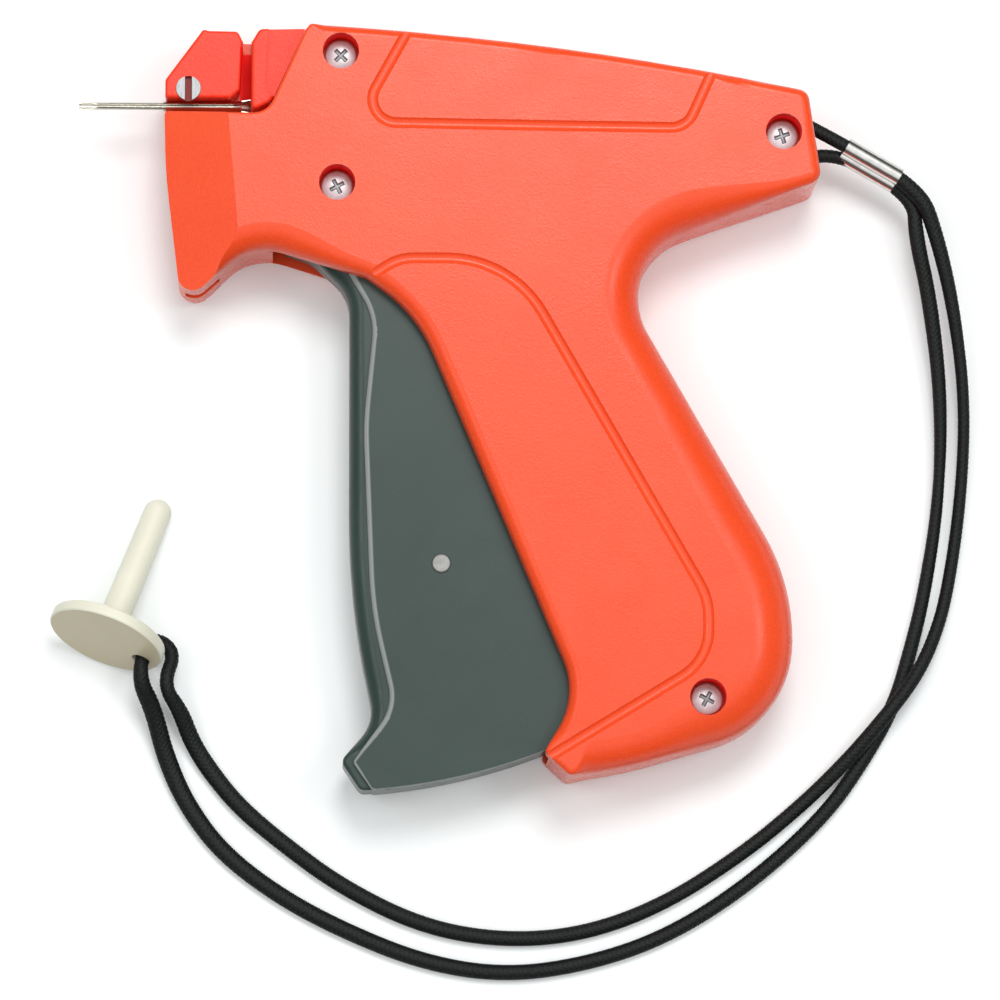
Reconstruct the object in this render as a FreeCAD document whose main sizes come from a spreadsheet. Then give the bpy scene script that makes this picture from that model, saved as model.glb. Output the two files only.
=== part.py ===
import FreeCAD, Part
import Sketcher
import math
import os
from FreeCAD import Placement, Rotation, Vector

# Garment tag attacher: a pistol-grip tool that lies on its side on a table.
# +X runs from the needle to the rear, +Y from the grip to the barrel, +Z out of the table.
# All lengths are millimetres. Outlines are pixel coordinates of the photograph, scaled to
# body_length.

document = FreeCAD.newDocument("garment_tag_attacher")
sheet = document.addObject("Spreadsheet::Sheet", "Sizes")

# Driving dimensions.

SIZES = {
    "body_length": 110.1,
    "body_thickness": 22.0,
    "side_wall": 2.6,
    "nose_taper_depth": 4.5,
    "nose_edge_rounding": 0.5,
    "boss_radius": 2.6,
    "collar_radius": 4.05,
    "collar_start": 3.6,
    "screw_head_radius": 2.7,
    "screw_head_rounding": 0.4,
    "screw_head_height": 1.7,
    "screw_recess_radius": 3.05,
    "screw_recess_depth": 4.8,
    "screw_shank_radius": 1.25,
    "screw_length": 11.6,
    "screw_hole_gap": 0.15,
    "screw_pilot_gap": 0.05,
    "cross_width": 0.8,
    "cross_length": 2.9,
    "cross_depth": 1.0,
    "groove_radius": 1.1,
    "groove_depth": 0.5,
    "window_half_depth": 3.0,
    "chute_half_depth": 1.8,
    "trigger_width": 12.6,
    "trigger_plate": 1.8,
    "trigger_side_gap": 0.35,
    "crown_width": 10.4,
    "pivot_gap": 0.06,
    "drive_pin_radius": 1.65,
    "cam_gap": 0.15,
    "lever_thickness": 3.6,
    "lever_hub_length": 8.4,
    "lever_hub_radius": 4.2,
    "lever_arm_radius": 4.1,
    "lever_tip_radius": 3.0,
    "lever_pin_radius": 1.5,
    "lever_boss_radius": 3.2,
    "slide_length": 15.0,
    "slide_height": 9.6,
    "slide_depth": 9.8,
    "slide_window": 9.6,
    "slide_gap": 0.15,
    "slide_pin_radius": 1.3,
    "ejector_stroke": 25.65,
    "track_wall": 1.5,
    "track_depth": 2.2,
    "rod_radius": 0.45,
    "rod_gap": 0.06,
    "rod_seat": 2.0,
    "spring_radius": 2.0,
    "spring_wire": 0.6,
    "spring_end_gap": 0.3,
    "needle_radius": 0.62,
    "needle_bore_radius": 0.5,
    "needle_groove": 0.55,
    "needle_reach": 14.5,
    "needle_level": 2.0,
    "needle_hub_radius": 0.8,
    "needle_hub_stand": 0.3,
    "needle_mouth_radius": 1.2,
    "needle_mouth_length": 3.0,
    "needle_mouth_opening": 1.5,
    "needle_mouth_lip": 0.2,
    "needle_point_length": 3.4,
    "needle_point_depth": 0.31,
    "tang_length": 9.0,
    "tang_start": 4.0,
    "tang_depth": 3.0,
    "tang_width": 0.9,
    "nose_block_depth": 6.0,
    "guide_block_depth": 7.4,
    "guide_dish_depth": 1.0,
    "lock_head_radius": 2.05,
    "lock_head_height": 1.6,
    "lock_head_stand": 0.3,
    "lock_shank_radius": 1.0,
    "lock_depth": 9.0,
    "lock_slot_width": 1.2,
    "lock_slot_depth": 1.2,
    "feed_wheel_radius": 4.0,
    "feed_wheel_root": 3.1,
    "feed_wheel_width": 2.8,
    "axle_radius": 0.9,
    "axle_length": 9.6,
    "feed_tooth_width": 1.1,
    "pawl_width": 2.4,
    "pawl_pin_radius": 0.6,
    "leaf_thickness": 0.3,
    "running_gap": 0.05,
    "cap_disc_radius": 10.0,
    "cap_disc_thickness": 2.0,
    "cap_pin_radius": 2.35,
    "cap_root_radius": 2.6,
    "cap_length": 27.5,
    "cap_bore_radius": 1.05,
    "cap_bore_depth": 17.0,
    "cap_hole_radius": 1.6,
    "cap_hole_offset": 7.0,
    "cap_rounding": 0.4,
    "cap_root_fillet": 0.8,
    "fold_outer": 12.2,
    "fold_top": 4.6,
    "fold_lead": 3.0,
    "fold_lead_slant": 0.6,
    "fold_top_slant": 0.4,
    "ferrule_length": 10.4,
    "ferrule_spread": 1.25,
    "ferrule_bore_radius": 1.26,
    "ferrule_wall": 0.22,
    "ferrule_height": 10.5,
    "ferrule_drop": 0.9,
    "ferrule_lead": 3.3,
    "ferrule_exit": 3.9,
    "cord_radius": 1.2,
    "bight_gap": 0.6,
    "cut_overrun": 1.0,
}

for row, (alias, value) in enumerate(SIZES.items(), start=1):
    sheet.set("A%d" % row, alias)
    sheet.set("B%d" % row, str(value))
    sheet.setAlias("B%d" % row, alias)
document.recompute()


def size(alias):
    return float(sheet.get(alias))


TRIGGER_TRAVEL_DEG = 19.0
LEVER_SWING_DEG = 32.87
NOSE_CREASE_DEG = 5.0
CAP_HOLE_DEG = 20.0
FERRULE_ROLL_DEG = 60.0
FEED_TEETH = 12
SPRING_TURNS = 12
PATH_STEPS = 6
TILT_STRETCH = 1.0096
TANGENT_SHARE = 0.45
LEAST_ROUNDING_SHARE = 0.05
MATCH_SHARE = 1e-6

# Places read from the photograph, in pixels of its 1000 by 1000 frame.

NOSE_FRONT_PX = 162.5
REAR_END_PX = 823.0
TOP_PX = 22.5
TRIGGER_LOWEST_PX = 787.5
TRIGGER_PIVOT_PX = (336.5, 182.5)
SCREWS_PX = [(340.0, 50.0), TRIGGER_PIVOT_PX, (786.0, 129.5), (708.0, 695.0)]
DRIVE_PIN_PX = (442.0, 560.5)
LEVER_PIVOT_PX = (560.0, 375.0)
NEEDLE_TAIL_PX = (249.0, 98.2)
ROD_TIP_PX = (252.0, 98.2)
SPRING_SEAT_PX = (294.5, 98.2)
SLIDE_PIN_PX = (641.0, 114.6)
NOSE_CREASE_PX = (232.0, 170.0)
LOCK_PX = (186.4, 83.8)
FEED_WHEEL_PX = (262.0, 166.0)
PAWL_PIN_PX = (301.0, 133.0)
TRIGGER_SWEEP_PX = 604.5
CAMERA_PX = (200.0, 1458.0)
CAMERA_RANGE_PX = 7100.0
CAP_FACE_PX = (106.0, 642.5)
CAP_TIP_PX = (161.0, 505.0)
FERRULE_PX = (845.0, 150.0)
FERRULE_END_PX = (900.0, 182.0)

# One pixel along the tool; the camera's tilt shortens what runs across it.
scale = size("body_length") / (REAR_END_PX - NOSE_FRONT_PX)
scale_y = scale * TILT_STRETCH

half = size("body_thickness") / 2
rear_x = (REAR_END_PX - NOSE_FRONT_PX) * scale
centre_x = (rear_x - size("needle_reach")) / 2
bottom_y = (TRIGGER_LOWEST_PX - TOP_PX) * scale_y
centre_y = bottom_y / 2


def at(pixel, height=0.0):
    """A photograph pixel as a place in the part's frame, whose origin is under its middle."""
    x = (pixel[0] - NOSE_FRONT_PX) * scale - centre_x
    y = centre_y - (pixel[1] - TOP_PX) * scale_y
    return Vector(x, y, height)


def seen(pixel, height):
    """The place at a height that the camera shows at a photograph pixel."""
    depth = (size("body_thickness") - height) / scale
    x = pixel[0] + (pixel[0] - CAMERA_PX[0]) / CAMERA_RANGE_PX * depth
    y = pixel[1] + (pixel[1] - CAMERA_PX[1]) / CAMERA_RANGE_PX * depth
    return at((x, y), height)


def turned(point, centre, degrees):
    """The point after a turn about a vertical axis through the centre."""
    return Rotation(Vector(0, 0, 1), degrees).multVec(point - centre) + centre


def arc_corner(centre_px, radius_px, start_deg, end_deg):
    """The corner whose rounding is the arc about centre_px, its angles from straight down."""
    middle = math.radians((start_deg + end_deg) / 2)
    half_turn = math.radians(abs(end_deg - start_deg) / 2)
    reach = radius_px / math.cos(half_turn)
    x = centre_px[0] + reach * math.sin(middle)
    y = centre_px[1] + reach * math.cos(middle)
    return (x, y, radius_px)


# Outlines, as corners (x, y, corner radius), and for the shells also the rounding of the edge.

SHELL_TAIL = [
    (560.0, 37.0, 3300.0, 9.0),
    (811.0, 87.5, 12.0, 9.0),
    (824.6, 177.0, 14.0, 10.0),
    (607.8, 257.1, 71.0, 36.0),
    (795.0, 577.0, 213.0, 44.0),
    (795.0, 719.0, 108.0, 44.0),
    (620.0, 766.0, 400.0, 30.0),
    (569.0, 773.0, 8.0, 6.0),
    (544.0, 750.0, 7.0, 5.0),
    (578.3, 692.4, 75.0, 12.0),
    (417.0, 314.0, 150.0, 14.0),
    (366.0, 276.0, 20.0, 14.0),
    (252.0, 242.0, 56.0, 26.0),
    (180.4, 305.2, 16.0, 8.0),
]
LEFT_NOSE = [
    (164.0, 170.0, 500.0, 5.0),
    (162.5, 107.8, 4.0, 3.0),
    (228.0, 112.6, 40.0, 2.0),
    (266.0, 112.6, 22.0, 3.0),
    (304.0, 29.0, 10.0, 3.0),
    (309.5, 22.5, 4.0, 3.0),
]
RIGHT_NOSE = [
    (164.0, 170.0, 500.0, 5.0),
    (162.5, 75.0, 6.0, 4.0),
    (200.5, 24.0, 6.0, 4.0),
    (236.5, 25.5, 3.0, 2.0),
    (241.5, 30.5, 2.0, 1.5),
    (249.5, 30.5, 2.0, 1.5),
    (255.0, 24.5, 3.0, 2.0),
    (309.5, 22.5, 40.0, 4.0),
]
CAVITY = [
    (366.0, 44.0, 8.0),
    (560.0, 58.0, 900.0),
    (796.0, 104.0, 10.0),
    (805.0, 164.0, 10.0),
    (577.0, 246.0, 92.0),
    (774.0, 582.0, 192.0),
    (774.0, 703.0, 87.0),
    (628.0, 742.0, 40.0),
    (594.0, 744.0, 8.0),
    (594.0, 692.0, 60.0),
    (431.0, 306.0, 130.0),
    (380.0, 262.0, 15.0),
    (294.0, 236.0, 10.0),
    (294.0, 80.0, 4.0),
    (350.0, 78.0, 6.0),
]
TRIGGER_CHANNEL = [
    (272.0, 212.0, 4.0),
    (400.0, 212.0, 12.0),
    (650.0, 560.0, 30.0),
    (659.0, 701.0, 8.0),
    arc_corner(TRIGGER_PIVOT_PX, TRIGGER_SWEEP_PX + 6.0, -6.0, 30.0),
    (262.0, 789.5, 6.0),
    (262.0, 330.0, 20.0),
    (272.0, 300.0, 20.0),
]
REAR_WINDOW = [
    (752.0, 94.0, 12.0),
    (790.0, 92.0, 8.0),
    (806.0, 96.5, 8.0),
    (840.0, 96.5, 3.0),
    (840.0, 162.5, 3.0),
    (806.0, 162.5, 8.0),
    (790.0, 167.0, 8.0),
    (752.0, 165.0, 12.0),
]
CHUTE = [
    (241.0, 10.0, 1.0),
    (249.5, 10.0, 1.0),
    (249.5, 120.0, 20.0),
    (218.0, 260.0, 60.0),
    (218.0, 320.0, 4.0),
    (184.0, 320.0, 4.0),
    (184.0, 262.0, 60.0),
    (241.0, 112.0, 40.0),
]
ROD_CHANNEL = [(252.0, 93.6, 1.0), (300.0, 93.6, 1.0), (300.0, 102.8, 1.0), (252.0, 102.8, 1.0)]
PAWL_RECESS = [
    (263.0, 122.0, 5.0),
    (316.0, 118.0, 5.0),
    (316.0, 150.0, 5.0),
    (280.0, 160.0, 5.0),
    (263.0, 145.0, 5.0),
]
NOSE_BLOCK = [
    (163.0, 75.0, 6.0),
    (201.0, 23.7, 3.0),
    (207.0, 25.2, 4.0),
    (236.0, 25.7, 5.0),
    (241.0, 36.0, 3.0),
    (238.0, 85.0, 3.0),
    (229.0, 93.0, 3.0),
    (163.0, 93.0, 2.0),
]
GUIDE_BLOCK = [
    (250.0, 38.0, 5.0),
    (258.0, 24.5, 7.0),
    (305.0, 23.5, 1.5),
    (301.0, 31.0, 6.0),
    (270.0, 98.0, 14.0),
    (250.0, 107.0, 4.0),
]
GUIDE_DISH = [(268.0, 10.0, 4.0), (320.0, 10.0, 4.0), (300.0, 90.0, 10.0), (262.0, 96.0, 14.0)]
LABEL_GROOVE = [(414.0, 18.0, 0.0), (355.5, 122.0, 24.0), (560.0, 125.0, 4000.0),
                (688.0, 126.3, 24.0), (721.0, 54.0, 0.0)]
GRIP_GROOVE = [(350.0, 290.0, 0.0), (399.0, 258.5, 50.0), (511.0, 258.5, 110.0),
               (708.5, 598.0, 70.0), (708.5, 659.0, 55.0), (541.0, 760.0, 0.0)]
TRIGGER_RIM = [
    (394.0, 703.0, 48.0, 6.0),
    (371.0, 606.0, 400.0, 6.0),
    (363.6, 421.0, 300.0, 6.0),
    (374.2, 313.5, 70.0, 6.0),
    (332.0, 243.0, 30.0, 6.0),
    (305.0, 205.0, 20.0, 6.0),
    (300.5, 180.0, 4.0, 1.2),
    (372.5, 180.0, 4.0, 1.2),
    (380.0, 245.0, 40.0, 1.2),
    (452.0, 318.0, 60.0, 1.2),
    (520.0, 470.0, 400.0, 1.2),
    (585.0, 640.0, 60.0, 1.2),
    (588.0, 728.6, 6.0, 1.2),
    arc_corner(TRIGGER_PIVOT_PX, TRIGGER_SWEEP_PX, 4.8, 22.8) + (1.2,),
    (373.0, 786.0, 5.0, 2.0),
    (353.6, 758.5, 5.0, 3.3),
]
TRIGGER_CROWN = [
    (375.5, 717.0, 41.0, 14.0),
    (349.5, 598.0, 850.0, 16.0),
    (349.5, 290.0, 45.0, 15.0),
    (312.0, 254.0, 50.0, 8.0),
    (283.0, 243.0, 3.0, 2.0),
    (287.0, 229.0, 3.0, 2.0),
    (340.0, 246.0, 30.0, 2.0),
    (390.0, 330.0, 30.0, 2.0),
    (396.0, 690.0, 40.0, 2.0),
    (396.0, 784.6, 6.0, 2.0),
    (361.5, 786.2, 8.0, 3.5),
    (341.5, 757.0, 9.0, 5.0),
]
TRIGGER_HOLLOW = [
    (280.0, 225.0, 2.0),
    (280.0, 130.0, 2.0),
    (430.0, 130.0, 4.0),
    (680.0, 320.0, 4.0),
    (680.0, 670.6, 4.0),
    arc_corner(TRIGGER_PIVOT_PX, TRIGGER_SWEEP_PX - 10.0, 6.5, 30.0),
    (390.0, 774.8, 6.0),
    (390.0, 706.0, 40.0),
    (366.0, 600.0, 300.0),
    (366.0, 300.0, 40.0),
    (332.0, 258.0, 40.0),
    (300.0, 243.0, 6.0),
]
PAWL = [(308.0, 133.0, 5.0), (305.0, 126.0, 4.0), (296.0, 126.5, 4.0), (280.0, 137.5, 1.0),
        (276.8, 145.5, 1.0), (283.0, 144.5, 3.0), (296.0, 139.5, 4.0), (306.0, 140.0, 4.0)]
LEAF = [(312.0, 121.2, 0.0), (300.0, 121.6, 12.0), (285.0, 130.0, 0.0)]


def rounded(corners):
    """The closed outline of straight runs and tangent arcs through corners in millimetres."""
    tangents = []
    count = len(corners)
    for index in range(count):
        point, radius = corners[index]
        to_last = (corners[index - 1][0] - point).normalize()
        to_next = (corners[(index + 1) % count][0] - point).normalize()
        half_angle = to_last.getAngle(to_next) / 2
        tangent = radius / math.tan(half_angle)
        bisector = (to_last + to_next).normalize()
        arc_centre = point + bisector * (radius / math.sin(half_angle))
        middle = arc_centre - bisector * radius
        tangents.append((point + to_last * tangent, middle, point + to_next * tangent))
    pieces = []
    for index in range(count):
        start, middle, end = tangents[index]
        pieces.append(Part.Arc(start, middle, end))
        pieces.append(Part.LineSegment(end, tangents[(index + 1) % count][0]))
    return pieces


def outline(corners_px):
    """The same from pixel corners, each radius scaled with the outline."""
    return rounded([(at(corner), corner[2] * scale) for corner in corners_px])


def band(path_px, width):
    """The closed outline of a strip of a given width along an open path of pixel corners."""
    points = [at(corner) for corner in path_px]
    radii = [corner[2] * scale for corner in path_px]
    sides = {1: [], -1: []}
    for index, point in enumerate(points):
        before = points[max(index - 1, 0)]
        after = points[min(index + 1, len(points) - 1)]
        incoming = (point - before).normalize() if index else (after - point).normalize()
        outgoing = (after - point).normalize() if index < len(points) - 1 else incoming
        turn = incoming.cross(outgoing).z
        normal = Vector(-incoming.y - outgoing.y, incoming.x + outgoing.x, 0).normalize()
        reach = width / 2 / math.cos(incoming.getAngle(outgoing) / 2)
        for side in sides:
            shrink = side if turn > 0 else -side
            radius = max(radii[index] - shrink * width / 2, width * LEAST_ROUNDING_SHARE)
            sides[side].append((point + normal * (side * reach), radius))
    return rounded(sides[1] + sides[-1][::-1])


def groove_wire(path_px, height):
    """An open line of straight runs and tangent arcs through pixel corners, at a height."""
    points = [at(corner, height) for corner in path_px]
    edges = []
    last = points[0]
    for index in range(1, len(points) - 1):
        corner = points[index]
        back = (points[index - 1] - corner).normalize()
        on = (points[index + 1] - corner).normalize()
        half_angle = back.getAngle(on) / 2
        radius = path_px[index][2] * scale
        tangent = radius / math.tan(half_angle)
        bisector = (back + on).normalize()
        middle = corner + bisector * (radius / math.sin(half_angle) - radius)
        edges.append(Part.LineSegment(last, corner + back * tangent).toShape())
        last = corner + on * tangent
        edges.append(Part.Arc(corner + back * tangent, middle, last).toShape())
    edges.append(Part.LineSegment(last, points[-1]).toShape())
    return Part.Wire(edges)


def face_of(geometry, height):
    """A flat face inside a closed outline, at a height."""
    wire = Part.Wire([piece.toShape() for piece in geometry])
    wire.translate(Vector(0, 0, height))
    return Part.Face(wire)


def circle(centre, radius):
    return [Part.Circle(Vector(centre.x, centre.y, 0), Vector(0, 0, 1), radius)]


def rectangle(low_x, low_y, high_x, high_y):
    """Four straight lines round a rectangle."""
    corners = [Vector(low_x, low_y, 0), Vector(high_x, low_y, 0),
               Vector(high_x, high_y, 0), Vector(low_x, high_y, 0)]
    return [Part.LineSegment(corners[index - 1], corners[index]) for index in range(len(corners))]


def lines(points):
    """Straight lines through points, closed."""
    return [Part.LineSegment(points[index - 1], points[index]) for index in range(len(points))]


# Document helpers: bodies, sketches on a body's own planes, and features bound to the sheet.

nodes = {}
MIDDLE = "Sizes.body_thickness / 2"


def new_body(label, placement=None, node=True):
    body = document.addObject("PartDesign::Body", label)
    body.Label = label
    if placement is not None:
        body.Placement = placement
    if node:
        nodes[label] = body
    return body


def origin_plane(body, role):
    for feature in body.Origin.OriginFeatures:
        if feature.Role == role:
            return feature
    raise ValueError("no plane " + role)


def sketch(body, name, geometry, height="0", plane="XY_Plane"):
    """A sketch of ready geometry on one of the body's planes, lifted by an expression."""
    drawing = body.newObject("Sketcher::SketchObject", name)
    drawing.AttachmentSupport = [(origin_plane(body, plane), "")]
    drawing.MapMode = "FlatFace"
    drawing.setExpression("AttachmentOffset.Base.z", height)
    drawing.addGeometry(geometry, False)
    return drawing


def round_sketch(body, name, centre, radius, height="0", plane="XY_Plane"):
    """A sketch of one circle whose radius is bound to the sheet."""
    drawing = sketch(body, name, circle(centre, size("cord_radius")), height, plane)
    drawing.addConstraint(Sketcher.Constraint("Radius", 0, size("cord_radius")))
    drawing.renameConstraint(0, "radius")
    drawing.setExpression("Constraints.radius", radius)
    return drawing


def pad(body, drawing, length, down=False):
    feature = body.newObject("PartDesign::Pad", drawing.Name + "_pad")
    feature.Profile = drawing
    feature.setExpression("Length", length)
    feature.Reversed = down
    body.Tip = feature
    return feature


def pocket(body, drawing, length, up=False):
    feature = body.newObject("PartDesign::Pocket", drawing.Name + "_pocket")
    feature.Profile = drawing
    feature.setExpression("Length", length)
    feature.Reversed = up
    body.Tip = feature
    return feature


def revolution(body, drawing, axis):
    feature = body.newObject("PartDesign::Revolution", drawing.Name + "_turned")
    feature.Profile = drawing
    feature.ReferenceAxis = (drawing, [axis])
    body.Tip = feature
    return feature


def fillet(body, base, edges, radius):
    feature = body.newObject("PartDesign::Fillet", base.Name + "_fillet")
    feature.Base = (base, edges)
    feature.setExpression("Radius", radius)
    body.Tip = feature
    return feature


def near(value, target):
    return abs(value - target) < size("body_length") * MATCH_SHARE


def edges_at(shape, height):
    """The names of the edges that lie flat at a height."""
    names = []
    for number, edge in enumerate(shape.Edges, start=1):
        box = edge.BoundBox
        if near(box.ZMin, height) and near(box.ZMax, height):
            names.append("Edge%d" % number)
    return names


def ring_edges(shape, reach):
    """The names of the closed edges at one distance from the X axis."""
    names = []
    for number, edge in enumerate(shape.Edges, start=1):
        place = edge.Vertexes[0].Point
        if len(edge.Vertexes) == 1 and near(math.hypot(place.y, place.z), reach):
            names.append("Edge%d" % number)
    return names


def same_place(point, other):
    return near(point.x, other.x) and near(point.y, other.y)


def rounded_block(label, corners_px, low, thickness, levels):
    """An outline pushed up from low by thickness, its edges at the levels rounded as listed."""
    geometry = outline(corners_px)
    face = document.addObject("Part::Feature", label + "_face")
    face.Shape = face_of(geometry, low)
    solid = document.addObject("Part::Extrusion", label + "_solid")
    solid.Base = face
    solid.DirMode = "Custom"
    solid.Dir = Vector(0, 0, 1)
    solid.setExpression("LengthFwd", thickness)
    solid.Solid = True
    document.recompute()
    roundings = [corner[3] * scale for corner in corners_px]
    chosen = []
    for number, edge in enumerate(solid.Shape.Edges, start=1):
        box = edge.BoundBox
        if not any(near(box.ZMin, level) and near(box.ZMax, level) for level in levels):
            continue
        first = edge.valueAt(edge.FirstParameter)
        last = edge.valueAt(edge.LastParameter)
        for index, piece in enumerate(geometry):
            corner = index // 2
            start_round = roundings[corner]
            end_round = start_round if index % 2 == 0 else roundings[(corner + 1) % len(roundings)]
            if same_place(first, piece.StartPoint) and same_place(last, piece.EndPoint):
                chosen.append((number, start_round, end_round))
            elif same_place(first, piece.EndPoint) and same_place(last, piece.StartPoint):
                chosen.append((number, end_round, start_round))
    rounding = document.addObject("Part::Fillet", label + "_rounded")
    rounding.Base = solid
    rounding.Edges = chosen
    document.recompute()
    return rounding


# Housing: two mouldings that meet at the middle plane.

def nose_taper(label, blank, left):
    """The nose's side planed off towards the needle, from a crease beside the feed slot."""
    crease = at(NOSE_CREASE_PX, size("body_thickness") if left else 0)
    run = crease.x - at((NOSE_FRONT_PX, 0)).x
    slope = math.degrees(math.atan2(size("nose_taper_depth"), run))
    tool = document.addObject("Part::Box", label + "_taper")
    tool.Length = size("body_length")
    tool.Width = size("body_length")
    tool.Height = half
    lift = 0 if left else -half
    corner = Vector(-size("body_length"), -size("body_length") / 2, lift)
    tool.Placement = (Placement(crease, Rotation(Vector(0, 0, 1), NOSE_CREASE_DEG))
                      * Placement(Vector(), Rotation(Vector(0, 1, 0), -slope if left else slope))
                      * Placement(corner, Rotation()))
    planed = document.addObject("Part::Cut", label + "_planed")
    planed.Base = blank
    planed.Tool = tool
    document.recompute()
    return planed


def grooved(label, blank, left):
    """The shell's outer side with a round-bottomed groove along each path."""
    lift = size("groove_radius") - size("groove_depth")
    height = size("body_thickness") + lift if left else -lift
    for name, path_px in (("_label_groove", LABEL_GROOVE), ("_grip_groove", GRIP_GROOVE)):
        route = document.addObject("Part::Feature", label + name + "_route")
        route.Shape = groove_wire(path_px, height)
        first, second = (at(corner, height) for corner in path_px[:2])
        section = document.addObject("Part::Circle", label + name + "_section")
        section.setExpression("Radius", "Sizes.groove_radius")
        section.Placement = Placement(first, Rotation(Vector(0, 0, 1), second - first))
        tool = document.addObject("Part::Sweep", label + name)
        tool.Sections = [section]
        tool.Spine = (route, ["Edge%d" % (index + 1) for index in range(len(route.Shape.Edges))])
        tool.Solid = True
        tool.Frenet = False
        carved = document.addObject("Part::Cut", label + name + "_cut")
        carved.Base = blank
        carved.Tool = tool
        blank = carved
    document.recompute()
    return blank


def make_shell(label, left):
    nose = LEFT_NOSE if left else RIGHT_NOSE
    level = size("body_thickness") if left else 0
    blank = rounded_block(label, SHELL_TAIL + nose, half if left else 0,
                          "Sizes.body_thickness / 2", [level])
    body = new_body(label)
    body.BaseFeature = grooved(label, nose_taper(label, blank, left), left)
    document.recompute()
    full = "(Sizes.body_thickness / 2 - Sizes.side_wall)"
    slack = "Sizes.trigger_side_gap"

    def hollow(name, corners_px, depth):
        pocket(body, sketch(body, label + name, outline(corners_px), MIDDLE), depth, up=left)

    def post(name, centre, radius, start, length):
        height = MIDDLE + (" + " if left else " - ") + start
        pad(body, round_sketch(body, label + name, centre, radius, height), length, down=not left)

    def hole(name, centre, radius, depth):
        pocket(body, round_sketch(body, label + name, centre, radius, MIDDLE), depth, up=left)

    hollow("_cavity", CAVITY, full)
    hollow("_channel", TRIGGER_CHANNEL, "Sizes.trigger_width / 2 + " + slack)
    hollow("_window", REAR_WINDOW, "Sizes.window_half_depth")
    hollow("_chute", CHUTE, "Sizes.chute_half_depth")
    hollow("_pawl_recess", PAWL_RECESS, "Sizes.feed_wheel_width / 2 + " + slack)
    hole("_wheel_recess", at(FEED_WHEEL_PX), "Sizes.feed_wheel_radius + " + slack,
         "Sizes.feed_wheel_width / 2 + " + slack)
    if left:
        hollow("_rod_channel", ROD_CHANNEL,
               "Sizes.needle_level + Sizes.rod_radius + Sizes.slide_gap")
    make_track(body, label, left, full)
    for index, screw_px in enumerate(SCREWS_PX):
        wide = screw_px == TRIGGER_PIVOT_PX
        radius = "Sizes.collar_radius" if wide else "Sizes.boss_radius"
        post("_boss_%d" % index, at(screw_px), radius, "0", full)
        if left and not wide:
            post("_collar_%d" % index, at(screw_px), "Sizes.collar_radius",
                 "Sizes.collar_start", full + " - Sizes.collar_start")
    clear = "(Sizes.trigger_width / 2 + Sizes.trigger_side_gap / 2)"
    post("_lever_boss", at(LEVER_PIVOT_PX), "Sizes.lever_boss_radius", clear, full + " - " + clear)
    hole("_lever_seat", at(LEVER_PIVOT_PX), "Sizes.lever_pin_radius",
         "Sizes.body_thickness / 2 - Sizes.side_wall / 2")
    hole("_axle_seat", at(FEED_WHEEL_PX), "Sizes.axle_radius", "Sizes.axle_length / 2")
    hole("_pawl_seat", at(PAWL_PIN_PX), "Sizes.pawl_pin_radius", "Sizes.axle_length / 2")
    for index, screw_px in enumerate(SCREWS_PX):
        if left:
            hole("_shank_%d" % index, at(screw_px),
                 "Sizes.screw_shank_radius + Sizes.screw_hole_gap",
                 "Sizes.body_thickness / 2 + Sizes.cut_overrun")
            recess = round_sketch(body, "%s_head_%d" % (label, index), at(screw_px),
                                  "Sizes.screw_recess_radius", "Sizes.body_thickness")
            pocket(body, recess, "Sizes.screw_recess_depth + Sizes.screw_head_height")
        else:
            hole("_pilot_%d" % index, at(screw_px),
                 "Sizes.screw_shank_radius + Sizes.screw_pilot_gap", full)
    if not left:
        tang = box_sketch(body, label + "_tang", at(NEEDLE_TAIL_PX).x - size("tang_start"),
                          size("tang_length"), at(NEEDLE_TAIL_PX).y, size("tang_width"),
                          size("running_gap"), MIDDLE)
        pocket(body, tang, "Sizes.tang_depth + Sizes.running_gap")
        hole("_lock_seat", at(LOCK_PX), "Sizes.lock_shank_radius + Sizes.running_gap",
             "Sizes.lock_depth - Sizes.nose_block_depth + Sizes.running_gap")
    return body


def box_sketch(body, name, right, length, middle_y, width, gap, height):
    """A rectangle that ends at right, its width centred, larger all round by the gap."""
    geometry = rectangle(right - length - gap, middle_y - width / 2 - gap,
                         right + gap, middle_y + width / 2 + gap)
    return sketch(body, name, geometry, height)


slide_centre = at(SLIDE_PIN_PX)


def make_track(body, label, left, full):
    """A U-shaped track on the shell's wall, in which the slide's edges run."""
    sign = " + " if left else " - "
    reach = size("slide_length") / 2 + size("slide_gap")
    front = slide_centre.x - size("ejector_stroke") - reach
    rear = slide_centre.x + reach
    low = slide_centre.y - size("slide_height") / 2 - size("slide_gap")
    high = slide_centre.y + size("slide_height") / 2 + size("slide_gap")
    wall = size("track_wall")
    start = "(Sizes.slide_depth / 2 - Sizes.track_depth)"
    block = sketch(body, label + "_track", rectangle(front, low - wall, rear, high + wall),
                   MIDDLE + sign + start)
    pad(body, block, full + " - " + start, down=not left)
    groove = sketch(body, label + "_track_groove",
                    rectangle(front - wall, low, rear + wall, high), MIDDLE + sign + start)
    pocket(body, groove, "Sizes.track_depth + Sizes.slide_gap", up=left)


make_shell("left_housing_shell", True)
make_shell("right_housing_shell", False)
document.recompute()

# Screws.

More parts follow.
